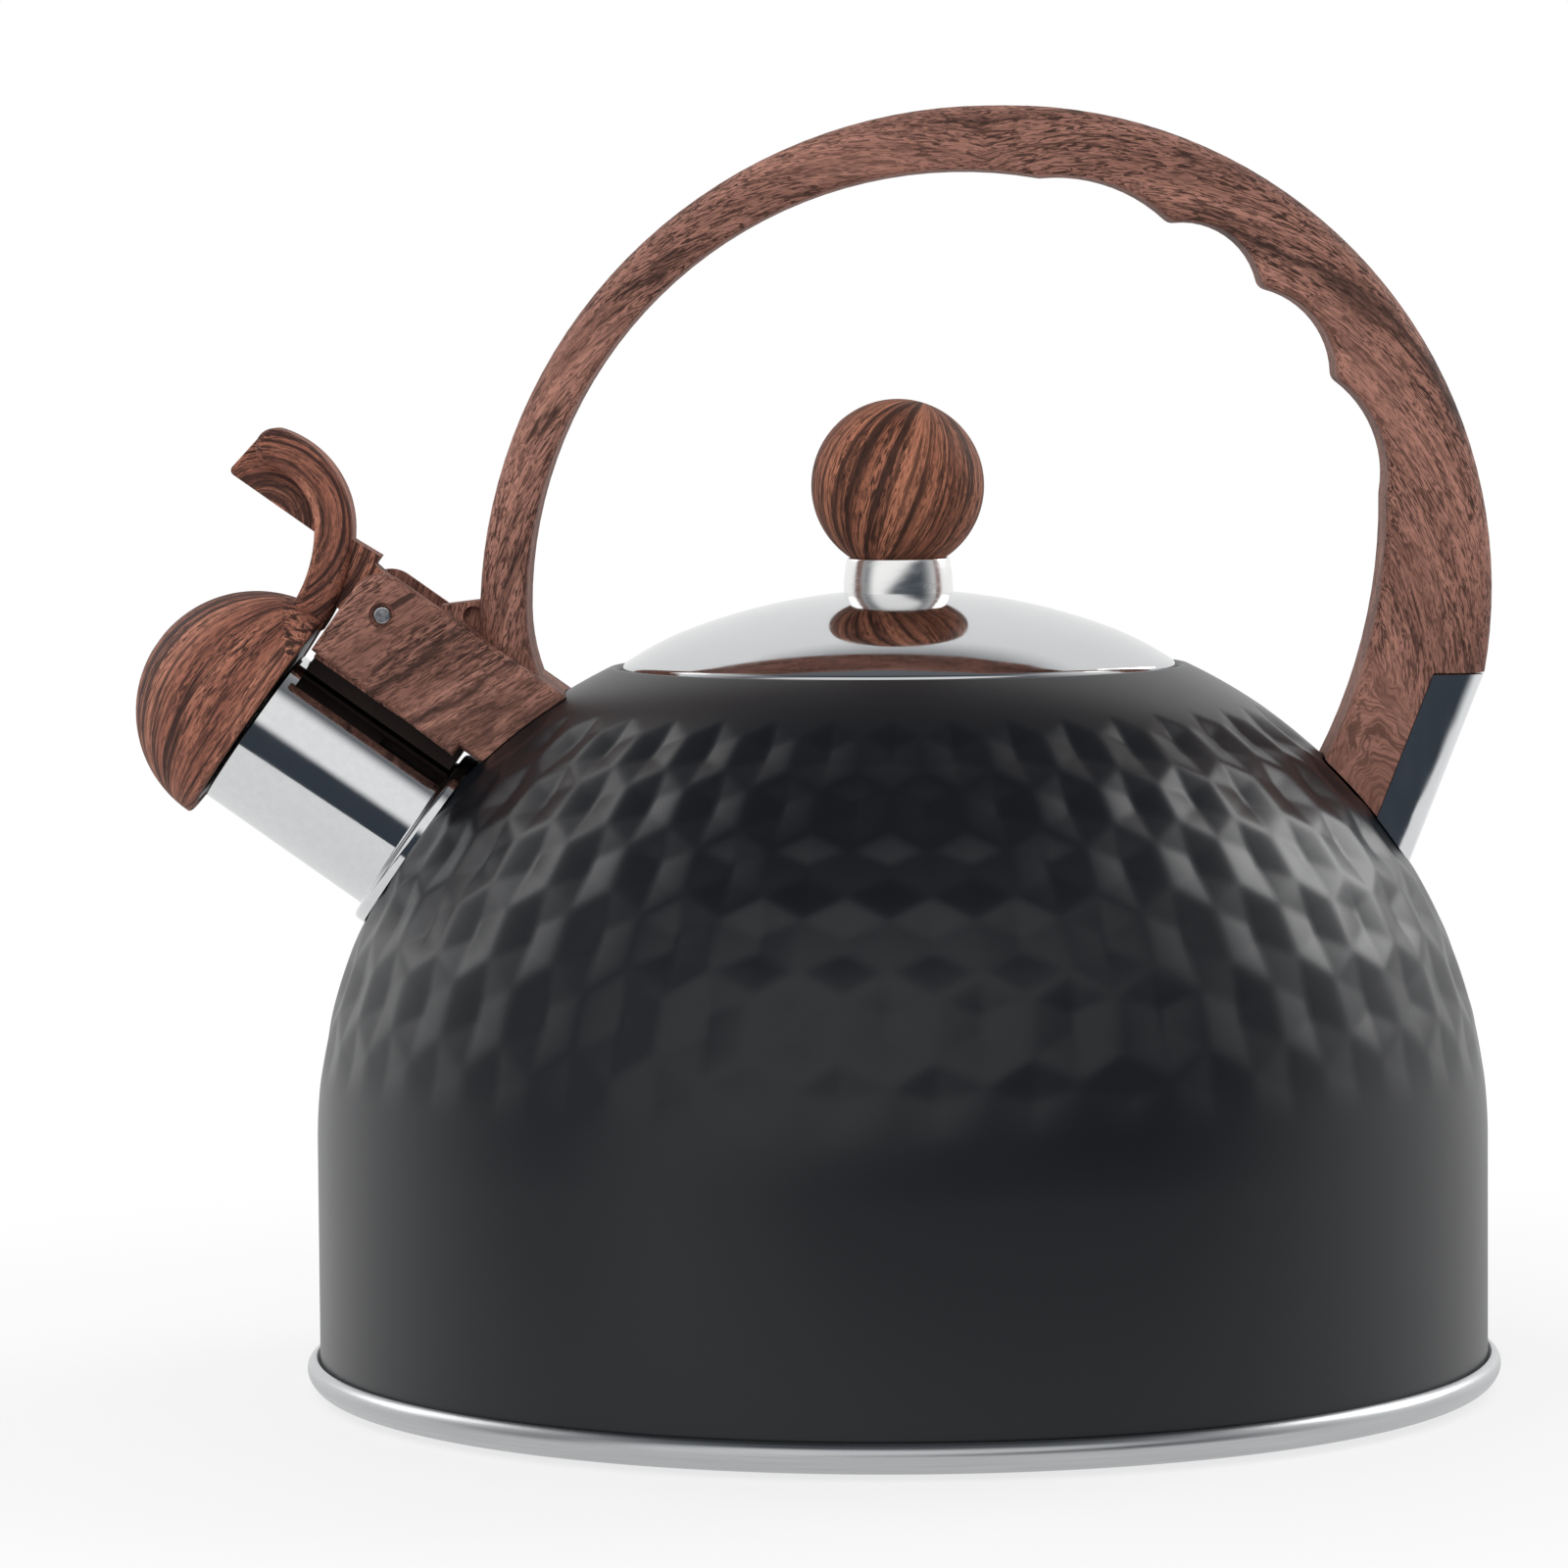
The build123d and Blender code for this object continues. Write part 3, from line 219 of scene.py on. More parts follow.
pan = bmesh.new()
middle = pan.verts.new(Vector((0, 0, pan_floor)) * mm)
tip = draw_to(pan, middle, moat_inner, pan_floor)
tip = draw_to(pan, tip, moat_outer, rim_foot)
tip = draw_to(pan, tip, belly_reach, rim_foot)
tip = draw_arc(pan, tip, belly_reach, rim_foot + belly_round, belly_turn, steps=16)
tip = draw_arc(pan, tip, crown_reach, crown_level, crown_turn, steps=20)
tip = draw_to(pan, tip, groove_outer, groove_lip)
tip = draw_to(pan, tip, groove_outer, groove_floor)
tip = draw_to(pan, tip, groove_inner, groove_floor)
tip = draw_to(pan, tip, groove_inner, groove_lip)
tip = draw_to(pan, tip, lip_inner, groove_lip)
tip = draw_to(pan, tip, lip_inner, rim_foot + pan_sheet)
tip = draw_to(pan, tip, moat_outer + moat_slope, rim_foot + pan_sheet)
tip = draw_to(pan, tip, moat_inner + moat_slope, pan_floor + pan_sheet)
draw_to(pan, tip, 0, pan_floor + pan_sheet)
turn_round(pan, pan_steps)
rolled_pan = finish_piece(pan, "rolled_pan", satin_steel, "kettle")
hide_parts("base_pan")

aluminium, tree, shader = new_finish("spreader_aluminium_rolled", Metallic=1.0)
lines = grain(tree, where(tree), (8, 1500, 1500), detail=4.0)
tint(tree, shader, lines, rolled_dark, rolled_light)
dull(tree, shader, lines, least=0.36, most=0.48)
dress(aluminium, "heat_spreader")

# Body: a deep-drawn steel shell, its edge turned in round the mouth over a pressed ring. Hammered cells
# are pressed into the dome, each a shallow roof turned inwards. The outside is sprayed with satin
# charcoal paint, the inside stays bare, and the spout's hole is cut through.
body_reach = 95.0
body_foot = 2.4
shoulder = 40.7
dome = 84.7
dome_axis = body_reach - dome
dome_touch = 0.05
sheet = 0.8
seat_reach = 45.5
seat_level = 116.14
under_seat = seat_level - sheet
seat_round = 1.6
seat_bevel = seat_round * 1.557  # how far a round of this size runs along the two sides of the edge
round_steps = 640
cell_turn = 9.0
first_cell = -0.14 * cell_turn
row_tops = (56.5, 48.5, 40.7, 32.6, 24.1, 15.2, 5.8)
band_low, band_high = 5.0, 57.0
slant = 0.33
upper_hip = 0.5
lower_hip = 0.6
soft_hip = 0.2
soft_crease = 0.07
round_ridge = 0.24
cell_depth = 0.95
spout_tilt = 35.5
spout_bore = 13.0
bore_depth = 16.0
paint_sheen = 0.41
paint_dark, paint_light = (0.0042, 0.0054, 0.0078), (0.0058, 0.0072, 0.0102)
bare_dark, bare_light = (0.46, 0.465, 0.47), (0.60, 0.60, 0.61)


def softer(first, second, width):
    """The lesser of two numbers, with a rounded change from one to the other."""
    near = max(width - abs(first - second), 0.0)
    return min(first, second) - near * near / (4 * width)


def hammered(climb, turn):
    """Depth of the hammering at an angle up the dome and an angle round it."""
    for row in range(len(row_tops) - 1):
        pitch_above = row_tops[max(row - 1, 0)] - row_tops[max(row - 1, 0) + 1]
        pitch = row_tops[row] - row_tops[row + 1]
        cell = (turn - first_cell) / cell_turn - 0.5 * (row % 2)
        side = 2 * abs(cell - round(cell))
        upper = row_tops[row] - slant * pitch_above * side
        lower = row_tops[row + 1] - slant * pitch * (1 - side)
        if lower < climb <= upper:
            from_upper = (upper - climb) / (upper_hip * pitch)
            from_lower = (climb - lower) / (lower_hip * pitch)
            roof = softer(from_upper, from_lower, soft_hip)
            roof = max(softer(roof, 1 - side, soft_crease), 0.0)
            dent = roof * roof * (1 + round_ridge) / (roof + round_ridge)
            fade = min(max((climb - row_tops[-1]) / (row_tops[-2] - row_tops[-1]), 0.0), 1.0)
            return cell_depth * dent * fade * fade * (3 - 2 * fade)
    return 0.0


shell = bmesh.new()
seat_climb = math.degrees(math.acos((seat_reach - body_reach + dome) / dome))
inner_dome = dome - sheet - cell_depth
inner_climb = math.degrees(math.asin((under_seat - shoulder) / inner_dome))
inner_top = dome_axis + inner_dome * math.cos(math.radians(inner_climb))
foot = shell.verts.new(Vector((body_reach, 0, body_foot)) * mm)
tip = draw_to(shell, foot, body_reach, shoulder)
tip = draw_arc(shell, tip, dome_axis, shoulder, band_low, steps=5)
tip = draw_arc(shell, tip, dome_axis, shoulder, band_high - band_low, steps=104)
seat_edge = draw_arc(shell, tip, dome_axis, shoulder, seat_climb - band_high, steps=8)
tip = draw_to(shell, seat_edge, seat_reach, under_seat)
tip = draw_to(shell, tip, inner_top, under_seat)
tip = draw_arc(shell, tip, dome_axis, shoulder, -inner_climb, steps=12)
tip = draw_to(shell, tip, body_reach - sheet, shoulder / 2)
tip = draw_to(shell, tip, body_reach - sheet, body_foot)
shell.edges.new((tip, foot))
bmesh.ops.bevel(
    shell, geom=[seat_edge], offset=seat_bevel * mm, offset_type="OFFSET", affect="VERTICES",
    segments=4, profile=0.5, material=-1,
)
turn_round(shell, round_steps)
for vert in shell.verts:
    reach = math.hypot(vert.co.x, vert.co.y)
    out = Vector((reach - dome_axis * mm, vert.co.z - shoulder * mm))
    if abs(out.length - dome * mm) < dome_touch * mm:
        climb = math.degrees(math.atan2(out.y, out.x))
        turn = math.degrees(math.atan2(vert.co.x, -vert.co.y))
        depth = hammered(climb, turn) * mm
        inwards = Vector((vert.co.x / reach * out.x, vert.co.y / reach * out.x, out.y)).normalized()
        vert.co -= inwards * depth


def bore(piece, centre, tilt, radius, depth):
    """Cuts a round hole through a piece, along a line that rises to the front by a tilt."""
    drill = bmesh.new()
    bmesh.ops.create_cone(
        drill, cap_ends=True, segments=96, radius1=radius * mm, radius2=radius * mm, depth=depth * mm
    )
    bmesh.ops.rotate(drill, verts=drill.verts[:], matrix=Matrix.Rotation(math.radians(tilt - 90), 3, "Y"))
    bmesh.ops.translate(drill, verts=drill.verts[:], vec=Vector(centre) * mm)
    drill_data = bpy.data.meshes.new("drill")
    drill.to_mesh(drill_data)
    drill.free()
    drill_piece = bpy.data.objects.new("drill", drill_data)
    bpy.context.scene.collection.objects.link(drill_piece)
    cut = piece.modifiers.new("bore", "BOOLEAN")
    cut.object = drill_piece
    cut.solver = "EXACT"
    cut_data = bpy.data.meshes.new_from_object(piece.evaluated_get(bpy.context.evaluated_depsgraph_get()))
    piece.modifiers.clear()
    piece.data = cut_data
    bpy.data.objects.remove(drill_piece)


body_paint, tree, shader = new_finish("charcoal_satin_paint", Specular_IOR_Level=paint_sheen)
whole = where(tree)
peel = grain(tree, whole, (1400, 1400, 1400), detail=2.0)
cloud = grain(tree, whole, (14, 14, 14))
paint_tone = mix_tones(tree, cloud, paint_dark, paint_light)
ring = round_the_axis(tree)
spot = parts(tree, ring)
beside_core = maths(tree, "SUBTRACT", spot[1], dome_axis * mm)
over_core = maths(tree, "MAXIMUM", maths(tree, "SUBTRACT", spot[2], shoulder * mm), 0.0)
from_core = length(tree, joined(tree, beside_core, over_core))
wall_skin = (dome - 0.5 * sheet) * mm
dome_skin = (dome - 0.5 * sheet - cell_depth) * mm
skin = ramp(tree, spot[2], 0.5 * shoulder * mm, shoulder * mm, wall_skin, dome_skin)
bare = maths(tree, "LESS_THAN", from_core, skin)
draw_lines = grain(tree, ring, (300, 4, 6), detail=4.0)
bare_tone = mix_tones(tree, draw_lines, bare_dark, bare_light)
tree.links.new(mix_tones(tree, bare, paint_tone, bare_tone), shader.inputs["Base Color"])
tree.links.new(bare, shader.inputs["Metallic"])
dull(tree, shader, cloud, least=0.31, most=0.36)
roughen(tree, shader, peel, strength=0.10, depth=0.04)

hammered_body = finish_piece(shell, "hammered_body", body_paint, "kettle", sharp=50.0)
tilt = math.radians(spout_tilt)
on_dome = (-dome_axis - dome * math.cos(tilt), 0, shoulder + dome * math.sin(tilt))
bore(hammered_body, on_dome, spout_tilt, spout_bore, bore_depth)
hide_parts("kettle_body")
dress(satin_steel, "mouth_ring")

# Spout: a drawn steel tube with a bead rolled at its root, set in the body's hole up to the bead.
# It is buffed bright all round, and the wheel leaves a fine mottle.
buffed_dark, buffed_light = (0.66, 0.67, 0.68), (0.78, 0.785, 0.79)
buffed_steel, tree, shader = new_finish("buffed_steel_spout", Metallic=1.0)
whole = where(tree)
mottle = grain(tree, whole, (700, 700, 700), detail=4.0, rough=0.65)
tint(tree, shader, mottle, buffed_dark, buffed_light)
dull(tree, shader, grain(tree, whole, (90, 90, 90)), least=0.05, most=0.09)
roughen(tree, shader, mottle, strength=0.06, depth=0.03)
dress(buffed_steel, "spout_tube")

# Back channel: a strip of steel sheet bent to a channel round the handle's foot and welded to the dome.
# It is polished before bending, so its flat sides are a little wavy and mirror in soft streaks.
channel_dark, channel_light = (0.70, 0.72, 0.73), (0.80, 0.81, 0.82)
channel_steel, tree, shader = new_finish("channel_steel_polished", Metallic=1.0)
whole = where(tree)
waves = grain(tree, whole, (70, 70, 45), detail=2.0)
smear = grain(tree, whole, (400, 400, 120))
tint(tree, shader, smear, channel_dark, channel_light)
dull(tree, shader, smear, least=0.08, most=0.13)
roughen(tree, shader, waves, strength=1.0, depth=0.3)
dress(channel_steel, "rear_bracket")

# Small steel: the bracket welded under the housing, the screws, the hinge pin, the whistle's plates and
# the closing spring are plain turned or stamped steel, satin from tumbling. The whistle's cup is
# coloured near black.
tumbled_dark, tumbled_light = (0.52, 0.53, 0.54), (0.70, 0.70, 0.71)
black_dark, black_light = (0.020, 0.020, 0.021), (0.045, 0.044, 0.043)
tumbled_steel, tree, shader = new_finish("tumbled_steel", Metallic=1.0)
pits = grain(tree, where(tree), (900, 900, 900))
tint(tree, shader, pits, tumbled_dark, tumbled_light)
dull(tree, shader, pits, least=0.22, most=0.36)
roughen(tree, shader, pits, strength=0.08, depth=0.04)
dress(tumbled_steel, "front_bracket", "front_screw", "rear_screw", "cap_pin", "cap_spring")
dress(tumbled_steel, "whistle_inlet", "whistle_outlet", "knob_screw")

# The whistle's cup is coloured near black all over.
near_black_steel, tree, shader = new_finish("near_black_steel", Metallic=1.0)
pits = grain(tree, where(tree), (900, 900, 900))
tint(tree, shader, pits, black_dark, black_light)
dull(tree, shader, pits, least=0.38, most=0.52)
dress(near_black_steel, "whistle_cup")

# Handle: one nylon moulding, an arch with finger scallops and a housing with two cheeks in front.
# A wood print is laid over it as a film: the grain follows the arch, slants over the cheeks and turns
# round a faint knot at the back foot. Inside the housing the moulding is coloured near black, a painted
# shade for the shadowed well.
arch_x = 14.0
arch_height = 126.0
arch_reach = 75.0
grain_drift = 0.24
grip_vein_reach, grip_vein_width = 61.8, 2.2
grip_vein_start, grip_vein_full = 36.0, 46.0
cheek_side = 10.1
cheek_slant = 31.0
cheek_veins = ((141.7, 2.4, 1.0), (133.8, 1.6, 1.0), (125.5, 8.0, 0.75))
well_side = 9.95
well_top = 60.4
knot_x, knot_height = 77.5, 88.0
knot_reach, knot_stretch = 9.5, 3.2
knot_waver = 1.6
knot_faint = 0.6
foot_top, foot_low = 128.0, 98.0
foot_faint = 0.45
print_sheen = 0.22
# Near-black painted shade for the well inside the housing.
well_painted_shade = (0.020, 0.012, 0.010)
handle_pale, handle_warm = (0.470, 0.225, 0.170), (0.275, 0.126, 0.094)
handle_line = (0.040, 0.019, 0.015)
foot_pale, foot_line = (0.350, 0.165, 0.125), (0.190, 0.090, 0.068)


def wood_print(tree, shader, way, pale, warm, dark, spacing, veins, marks=0.0, bare=0.0):
    """A wood print along the way of the grain: bands of colour, dark flecks, streaks and veins. Marks
    are single veins, and where bare is set the print gives way to a near-black painted shade."""
    bands = grain(tree, way, (10, 130, 130), warp=0.8)
    tone = mix_tones(tree, ramp(tree, bands, low=0.36, high=0.64), pale, warm)
    fleck = grain(tree, way, (240, 1700, 1700), detail=4.0, rough=0.6, warp=2.0)
    dense = ramp(tree, grain(tree, way, (25, 90, 90)), low=0.36, high=0.58, low_out=0.62)
    flecks = maths(tree, "MULTIPLY", ramp(tree, fleck, low=0.42, high=0.60), dense)
    red_dark = mix_tones(tree, 0.07, dark, warm)
    tone = mix_tones(tree, flecks, tone, red_dark)
    streak = grain(tree, way, (60, 700, 700), detail=4.0, rough=0.65, warp=1.0)
    tone = mix_tones(tree, ramp(tree, streak, low=0.54, high=0.68, high_out=0.85), tone, dark)
    vein = grain(tree, way, (12, spacing, spacing), detail=5.0, rough=0.6, warp=0.9)
    vein = ramp(tree, vein, low=veins, high=veins + 0.13, high_out=0.9)
    tone = mix_tones(tree, maths(tree, "MAXIMUM", vein, marks), tone, dark)
    # Where bare is set, a near-black painted shade takes the place of the print.
    tint(tree, shader, bare, tone, well_painted_shade)
    dull(tree, shader, fleck, least=0.62, most=0.74)
    roughen(tree, shader, fleck, strength=0.15, depth=0.06)


def single_vein(tree, way, across, place, width):
    """A dark vein at a place across the grain, which wavers and is broken up a little."""
    wander = grain(tree, way, (45, 160, 160), detail=5.0, rough=0.65)
    waver = ramp(tree, wander, 0.25, 0.75, -width * mm, width * mm)
    off = maths(tree, "ADD", maths(tree, "SUBTRACT", across, place * mm), waver)
    return ramp(tree, maths(tree, "ABSOLUTE", off), 0.0, width * mm, 0.85, 0.0)


def round_a_bend(tree, spot, x, height, stretch):
    """Way along a bend in the side view, as an angle times a length, and distance from its centre."""
    from_x = maths(tree, "SUBTRACT", spot[0], x * mm)
    from_z = maths(tree, "SUBTRACT", spot[2], height * mm)
    along = maths(tree, "MULTIPLY", maths(tree, "ARCTAN2", from_x, from_z), stretch * mm)
    return along, length(tree, joined(tree, from_x, from_z))


def choose(tree, amount, first, second):
    """One of two vectors."""
    chosen = put(tree, "Mix", {"Factor": amount}, data_type="VECTOR")
    tree.links.new(first, chosen.inputs[4])
    tree.links.new(second, chosen.inputs[5])
    return chosen.outputs[1]


handle_print, tree, shader = new_finish("handle_wood_print", Specular_IOR_Level=print_sheen)
whole = where(tree)
spot = parts(tree, whole)
along, reach = round_a_bend(tree, spot, arch_x, arch_height, arch_reach)
drift = maths(tree, "MULTIPLY", maths(tree, "ABSOLUTE", along), grain_drift)
across = maths(tree, "SUBTRACT", reach, drift)
arch_grain = joined(tree, along, across, spot[1])

# The knot's rings are long upright ovals with an uneven edge.
from_x = maths(tree, "SUBTRACT", spot[0], knot_x * mm)
from_z = maths(tree, "MULTIPLY", maths(tree, "SUBTRACT", spot[2], knot_height * mm), 1 / knot_stretch)
uneven = ramp(tree, grain(tree, whole, (90, 90, 60)), 0.25, 0.75, -knot_waver * mm, knot_waver * mm)
knot_ring = maths(tree, "ADD", length(tree, joined(tree, from_x, from_z)), uneven)
knot_grain = joined(tree, along, knot_ring, spot[1])
in_knot = maths(tree, "LESS_THAN", knot_ring, knot_reach * mm)

# The grain on the cheeks slants, and dark veins cross them; one more runs over the back of the grip.
slanted = {"Vector": whole, "Rotation": (0, math.radians(cheek_slant), 0)}
cheek_grain = put(tree, "Mapping", slanted).outputs[0]
cheek_across = parts(tree, cheek_grain)[2]
sideways = maths(tree, "ABSOLUTE", spot[1])
on_cheek = maths(tree, "GREATER_THAN", sideways, cheek_side * mm)
way = choose(tree, on_cheek, choose(tree, in_knot, arch_grain, knot_grain), cheek_grain)

marks = 0.0
for place, width, strength in cheek_veins:
    vein = maths(tree, "MULTIPLY", single_vein(tree, way, cheek_across, place, width), strength)
    marks = maths(tree, "MAXIMUM", marks, vein)
marks = maths(tree, "MULTIPLY", marks, on_cheek)
on_grip = ramp(tree, along, grip_vein_start * mm, grip_vein_full * mm)
grip_vein = single_vein(tree, way, across, grip_vein_reach, grip_vein_width)
marks = maths(tree, "MAXIMUM", marks, maths(tree, "MULTIPLY", grip_vein, on_grip))

# The well between the cheeks, below a level over the spout's own line, is coloured near black as painted
# shade.
up_from_x = maths(tree, "MULTIPLY", spot[0], math.sin(tilt))
up_from_z = maths(tree, "MULTIPLY", spot[2], math.cos(tilt))
low_down = maths(tree, "LESS_THAN", maths(tree, "ADD", up_from_x, up_from_z), well_top * mm)
between = maths(tree, "LESS_THAN", sideways, well_side * mm)
shade_painted_in_well = maths(tree, "MULTIPLY", between, low_down)

# The print is calmer and darker towards the back foot.
behind = maths(tree, "GREATER_THAN", spot[0], arch_x * mm)
at_foot = maths(tree, "MULTIPLY", ramp(tree, spot[2], foot_top * mm, foot_low * mm), behind)
faint_knot = maths(tree, "MULTIPLY", in_knot, knot_faint)
faint = maths(tree, "MAXIMUM", faint_knot, maths(tree, "MULTIPLY", at_foot, foot_faint))
line_tone = mix_tones(tree, faint, handle_line, foot_line)
pale_tone = mix_tones(tree, at_foot, handle_pale, foot_pale)
# Within the well the print gives way to the near-black painted shade.
wood_print(
    tree, shader, way, pale_tone, handle_warm, line_tone, spacing=170, veins=0.60,
    marks=marks, bare=shade_painted_in_well,
)
dress(handle_print, "handle")

# Whistle cap: a hollow half ball with a swan-neck lever, moulded in one and printed like the handle
# in a redder wood. The stripes run over the ball from the lever's root to the lower edge, and along
# the bend of the lever.
cap_x, cap_height = -106.0, 110.0
cap_reach = 20.3
cap_fan = 18.5
bend_x, bend_height = -102.2, 141.3
bend_stretch = 16.0
lever_fineness = 1.9
stripe_spacing, stripe_veins = 330, 0.46
cap_pale, cap_warm, cap_line = (0.590, 0.245, 0.160), (0.330, 0.122, 0.080), (0.034, 0.016, 0.014)

cap_print, tree, shader = new_finish("cap_wood_print", Specular_IOR_Level=print_sheen)
whole = where(tree)
spot = parts(tree, whole)
centring = {"Vector": whole, "Location": (-cap_x * mm, 0, -cap_height * mm)}
centred = put(tree, "Mapping", centring).outputs[0]
turning = {"Vector": centred, "Rotation": (0, math.radians(-spout_tilt), 0)}
local = parts(tree, put(tree, "Mapping", turning).outputs[0])
outward = maths(tree, "MULTIPLY", local[0], -1.0)
fan = maths(tree, "MULTIPLY", maths(tree, "ARCTAN2", local[1], outward), cap_fan * mm)
ball_grain = joined(tree, local[2], fan)
along, reach = round_a_bend(tree, spot, bend_x, bend_height, bend_stretch)
finer_reach = maths(tree, "MULTIPLY", reach, lever_fineness)
finer_side = maths(tree, "MULTIPLY", spot[1], lever_fineness)
lever_grain = joined(tree, along, finer_reach, finer_side)
on_lever = maths(tree, "GREATER_THAN", length(tree, centred), cap_reach * mm)
way = choose(tree, on_lever, ball_grain, lever_grain)
wood_print(tree, shader, way, cap_pale, cap_warm, cap_line, stripe_spacing, stripe_veins)
dress(cap_print, "spout_cap")

# Lid: a spun steel dome with a ring welded under it, a spun ferrule and a ball knob, held by a screw and
# a washer from inside. The lid is polished like a mirror, the ferrule a little softer. The knob is
# printed like the cap, its stripes leaning a little to the back.
lid_foot = 116.14
lid_top = 129.32
lid_crown, lid_bend = 96.5, 20.6
lid_flank, flank_bend = 50.0, 13.4
lid_edge = 1.1
lid_inner = 44.1
lid_hollow, hollow_level = 92.3, 35.94
lid_steps = 240
stud_hole = 2.2
ferrule_roof = 134.54
ferrule_sheet = 0.8
ferrule_flat = 8.0
ferrule_round = 0.3
ferrule_bulge, ferrule_draft = 22.0, 12.9
ferrule_steps = 160
knob_height = 146.23
knob_lean = 18.0
knob_fan = 14.0
mirror_dark, mirror_light = (0.605, 0.612, 0.620), (0.660, 0.668, 0.676)
ferrule_dark, ferrule_light = (0.88, 0.88, 0.87), (0.95, 0.95, 0.94)
knob_pale, knob_warm, knob_line = (0.580, 0.230, 0.136), (0.330, 0.120, 0.070), (0.036, 0.016, 0.012)

polished_steel, tree, shader = new_finish("polished_steel_bright", Metallic=1.0)
whole = where(tree)
tint(tree, shader, grain(tree, whole, (60, 60, 60), detail=4.0), mirror_dark, mirror_light)
dull(tree, shader, grain(tree, whole, (300, 40, 900), detail=4.0), least=0.05, most=0.10)

lid = bmesh.new()
hole_turn = math.asin(stud_hole / lid_crown)
stud_edge = lid.verts.new(Vector((stud_hole, 0, lid_top - lid_crown * (1 - math.cos(hole_turn)))) * mm)
tip = draw_arc(lid, stud_edge, 0, lid_top - lid_crown, math.degrees(hole_turn) - lid_bend, steps=24)
crown_end = math.radians(lid_bend)
flank_x = (lid_crown - lid_flank) * math.sin(crown_end)
flank_z = lid_top - lid_crown + (lid_crown - lid_flank) * math.cos(crown_end)
tip = draw_arc(lid, tip, flank_x, flank_z, -flank_bend, steps=12)
flank_end = math.radians(lid_bend + flank_bend)
edge_x = flank_x + (lid_flank - lid_edge) * math.sin(flank_end)
edge_z = flank_z + (lid_flank - lid_edge) * math.cos(flank_end)
tip = draw_arc(lid, tip, edge_x, edge_z, lid_bend + flank_bend - 90, steps=10)
tip = draw_to(lid, tip, edge_x + lid_edge, lid_foot)
tip = draw_to(lid, tip, lid_inner, lid_foot)
tip = draw_to(lid, tip, lid_inner, hollow_level + math.sqrt(lid_hollow**2 - lid_inner**2))
hollow_turn = math.asin(lid_inner / lid_hollow) - math.asin(stud_hole / lid_hollow)
tip = draw_arc(lid, tip, 0, hollow_level, math.degrees(hollow_turn), steps=24)
lid.edges.new((tip, stud_edge))
turn_round(lid, lid_steps)
spun_lid = finish_piece(lid, "spun_lid", polished_steel, "lid")
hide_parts("lid_shell")
dress(satin_steel, "lid_skirt", "knob_washer")

ferrule_steel, tree, shader = new_finish("polished_steel_ferrule", Metallic=1.0)
wheel = grain(tree, where(tree), (300, 300, 1200), detail=4.0)
tint(tree, shader, wheel, ferrule_dark, ferrule_light)
dull(tree, shader, wheel, least=0.20, most=0.28)

collar = bmesh.new()
roof_edge = collar.verts.new(Vector((stud_hole, 0, ferrule_roof)) * mm)
tip = draw_to(collar, roof_edge, ferrule_flat, ferrule_roof)
tip = draw_arc(collar, tip, ferrule_flat, ferrule_roof - ferrule_round, ferrule_draft - 90, steps=6)
draft = math.radians(ferrule_draft)
bulge_x = ferrule_flat + (ferrule_round - ferrule_bulge) * math.cos(draft)
bulge_z = ferrule_roof - ferrule_round + (ferrule_round - ferrule_bulge) * math.sin(draft)
tip = draw_arc(collar, tip, bulge_x, bulge_z, -ferrule_draft, steps=12)
foot_reach = bulge_x + ferrule_bulge
foot_level = lid_top - lid_crown + math.sqrt(lid_crown**2 - foot_reach**2)
tip = draw_to(collar, tip, foot_reach, foot_level)
tip = draw_to(collar, tip, foot_reach - ferrule_sheet, foot_level)
tip = draw_to(collar, tip, foot_reach - 2 * ferrule_sheet, ferrule_roof - ferrule_sheet)
tip = draw_to(collar, tip, stud_hole, ferrule_roof - ferrule_sheet)
collar.edges.new((tip, roof_edge))
turn_round(collar, ferrule_steps)
spun_ferrule = finish_piece(collar, "spun_ferrule", ferrule_steel, "lid")
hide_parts("knob_ferrule")

knob_print, tree, shader = new_finish("knob_wood_print", Specular_IOR_Level=print_sheen)
centring = {"Vector": where(tree), "Location": (0, 0, -knob_height * mm)}
centred = put(tree, "Mapping", centring).outputs[0]
turning = {"Vector": centred, "Rotation": (0, math.radians(-knob_lean), 0)}
local = parts(tree, put(tree, "Mapping", turning).outputs[0])
frontward = maths(tree, "MULTIPLY", local[1], -1.0)
fan = maths(tree, "MULTIPLY", maths(tree, "ARCTAN2", local[0], frontward), knob_fan * mm)
way = joined(tree, local[2], fan)
wood_print(tree, shader, way, knob_pale, knob_warm, knob_line, stripe_spacing, stripe_veins)
dress(knob_print, "knob_ball")

# Studio: a round pale table in a white tent, dim at the roof and towards the camera, where one light
# panel hangs, so bright metal mirrors dark bands between light ones. A soft box stands in front, on the
# left, and two behind. To the camera table and tent are white, with the kettle's soft shadow kept.
table_reach = 0.34
table_dark, table_light = (0.86, 0.86, 0.86), (0.89, 0.89, 0.89)
shadow_inner, shadow_outer = 0.15, 0.30
shadow_lift = 0.72
table_mirrored = 0.84
wall_back, wall_front = 0.90, 0.02
wall_near, wall_far = -0.55, 0.45
wall_skew = 0.18
panel_slope = 0.45
panel_low, panel_high, panel_bright = 0.09, 0.20, 0.95
panel_side, panel_middle = -0.25, -0.65
roof_low, roof_high, roof_dim = 0.70, 0.90, 0.16
room_dark, room_light = (0.02, 0.03, 0.045), (1, 1, 1)
fill_bright = 0.75
lamps = (
    ("front_box", (-0.45, -0.95, 0.85), 0.90, 4.0),
    ("right_box", (0.90, 0.60, 0.73), 0.65, 4.5),
    ("left_box", (-0.90, 0.60, 0.73), 0.60, 1.8),
)
lamp_aim = (0, 0, 0.1)
camera_place = (-0.00114, -1.07574, 0.17133)
camera_turn, camera_dip, camera_roll = 0.9395, 3.9055, -0.441
camera_lens = 152.37


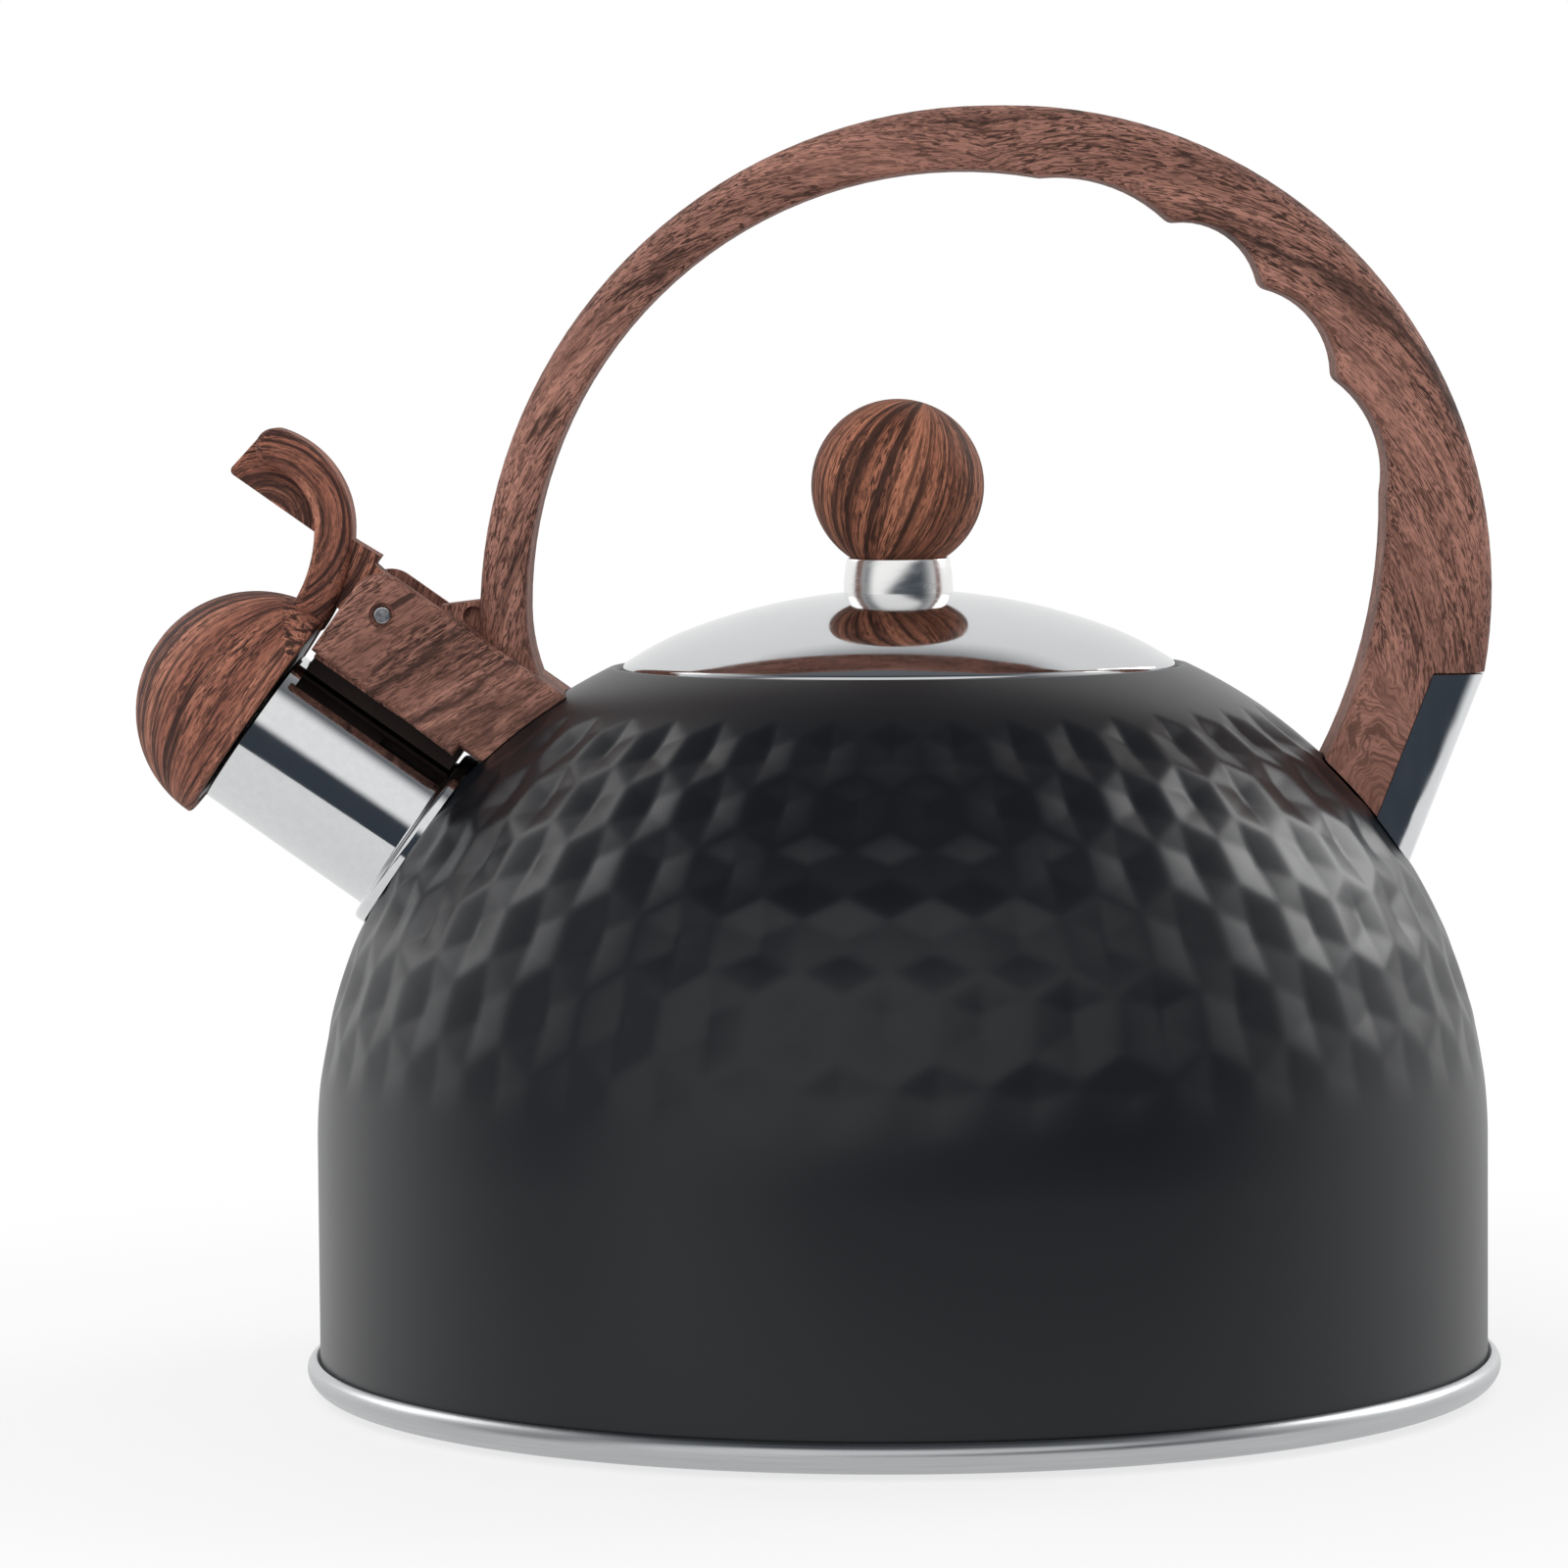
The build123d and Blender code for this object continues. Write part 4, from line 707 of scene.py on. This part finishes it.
def looked_at(tree):
    """Whether a ray comes from the camera, and whether it comes from there or by way of a mirror."""
    rays = put(tree, "LightPath").outputs
    seen = maths(tree, "ADD", rays["Is Camera Ray"], rays["Is Glossy Ray"])
    seen = maths(tree, "MINIMUM", maths(tree, "ADD", seen, rays["Is Transmission Ray"]), 1.0)
    return rays["Is Camera Ray"], seen


table = bmesh.new()
bmesh.ops.create_circle(table, cap_ends=True, segments=128, radius=table_reach)
table_data = bpy.data.meshes.new("table")
table.to_mesh(table_data)
table.free()
table_top = bpy.data.objects.new("table", table_data)
bpy.context.scene.collection.objects.link(table_top)
table_white, tree, shader = new_finish("table_white", Roughness=0.7)
whole = where(tree)
tint(tree, shader, grain(tree, whole, (30, 30, 30)), table_dark, table_light)
direct, seen = looked_at(tree)
lift = ramp(tree, length(tree, whole), shadow_inner, shadow_outer, shadow_lift, 1.0)
bright = ramp(tree, direct, 0.0, 1.0, table_mirrored, 1.0)
glow = put(tree, "Emission", {"Color": (1, 1, 1, 1), "Strength": bright}).outputs[0]
topped = put(tree, "MixShader", {0: maths(tree, "MULTIPLY", seen, lift), 1: shader.outputs[0], 2: glow})
tree.links.new(topped.outputs[0], tree.nodes["Material Output"].inputs["Surface"])
table_data.materials.append(table_white)

world = bpy.data.worlds.new("tent")
bpy.context.scene.world = world
world.use_nodes = True
tree = world.node_tree
ray = parts(tree, put(tree, "TexCoord").outputs["Generated"])
rightward = maths(tree, "MULTIPLY", maths(tree, "MAXIMUM", ray[0], 0.0), wall_skew)
walls = ramp(tree, maths(tree, "ADD", ray[1], rightward), wall_near, wall_far, wall_front, wall_back)
over = maths(tree, "SUBTRACT", ray[2], maths(tree, "MULTIPLY", ray[0], panel_slope))
upright = ramp(tree, over, panel_low, panel_high, 0.0, panel_bright)
panel = maths(tree, "MULTIPLY", ramp(tree, ray[1], panel_side, panel_middle), upright)
roof = ramp(tree, ray[2], roof_low, roof_high, 1.0, roof_dim)
tent = maths(tree, "MULTIPLY", maths(tree, "MAXIMUM", walls, panel), roof)
direct, seen = looked_at(tree)
room_tone = mix_tones(tree, maths(tree, "MAXIMUM", tent, direct), room_dark, room_light)
shown = put(tree, "Background", {"Color": room_tone}).outputs[0]
fill = put(tree, "Background", {"Color": (1, 1, 1, 1), "Strength": fill_bright}).outputs[0]
both = put(tree, "MixShader", {0: seen, 1: fill, 2: shown})
tree.links.new(both.outputs[0], tree.nodes["World Output"].inputs["Surface"])

for name, place, size, power in lamps:
    lamp_data = bpy.data.lights.new(name, "AREA")
    lamp_data.shape = "SQUARE"
    lamp_data.size = size
    lamp_data.energy = power
    lamp = bpy.data.objects.new(name, lamp_data)
    lamp.location = place
    lamp.visible_glossy = name != "front_box"
    lamp.rotation_euler = (Vector(lamp_aim) - lamp.location).to_track_quat("-Z", "Y").to_euler()
    bpy.context.scene.collection.objects.link(lamp)

camera_data = bpy.data.cameras.new("camera")
camera_data.sensor_width = 36.0
camera_data.lens = camera_lens
camera_data.clip_start = 0.01
camera = bpy.data.objects.new("camera", camera_data)
turned = Matrix.Rotation(math.radians(camera_turn), 4, "Z")
look = turned @ Matrix.Rotation(math.radians(90 - camera_dip), 4, "X")
rolled = Matrix.Rotation(math.radians(camera_roll), 4, "Z")
camera.matrix_world = Matrix.Translation(camera_place) @ look @ rolled
bpy.context.scene.collection.objects.link(camera)
bpy.context.scene.camera = camera
bpy.context.scene.view_settings.view_transform = "Standard"
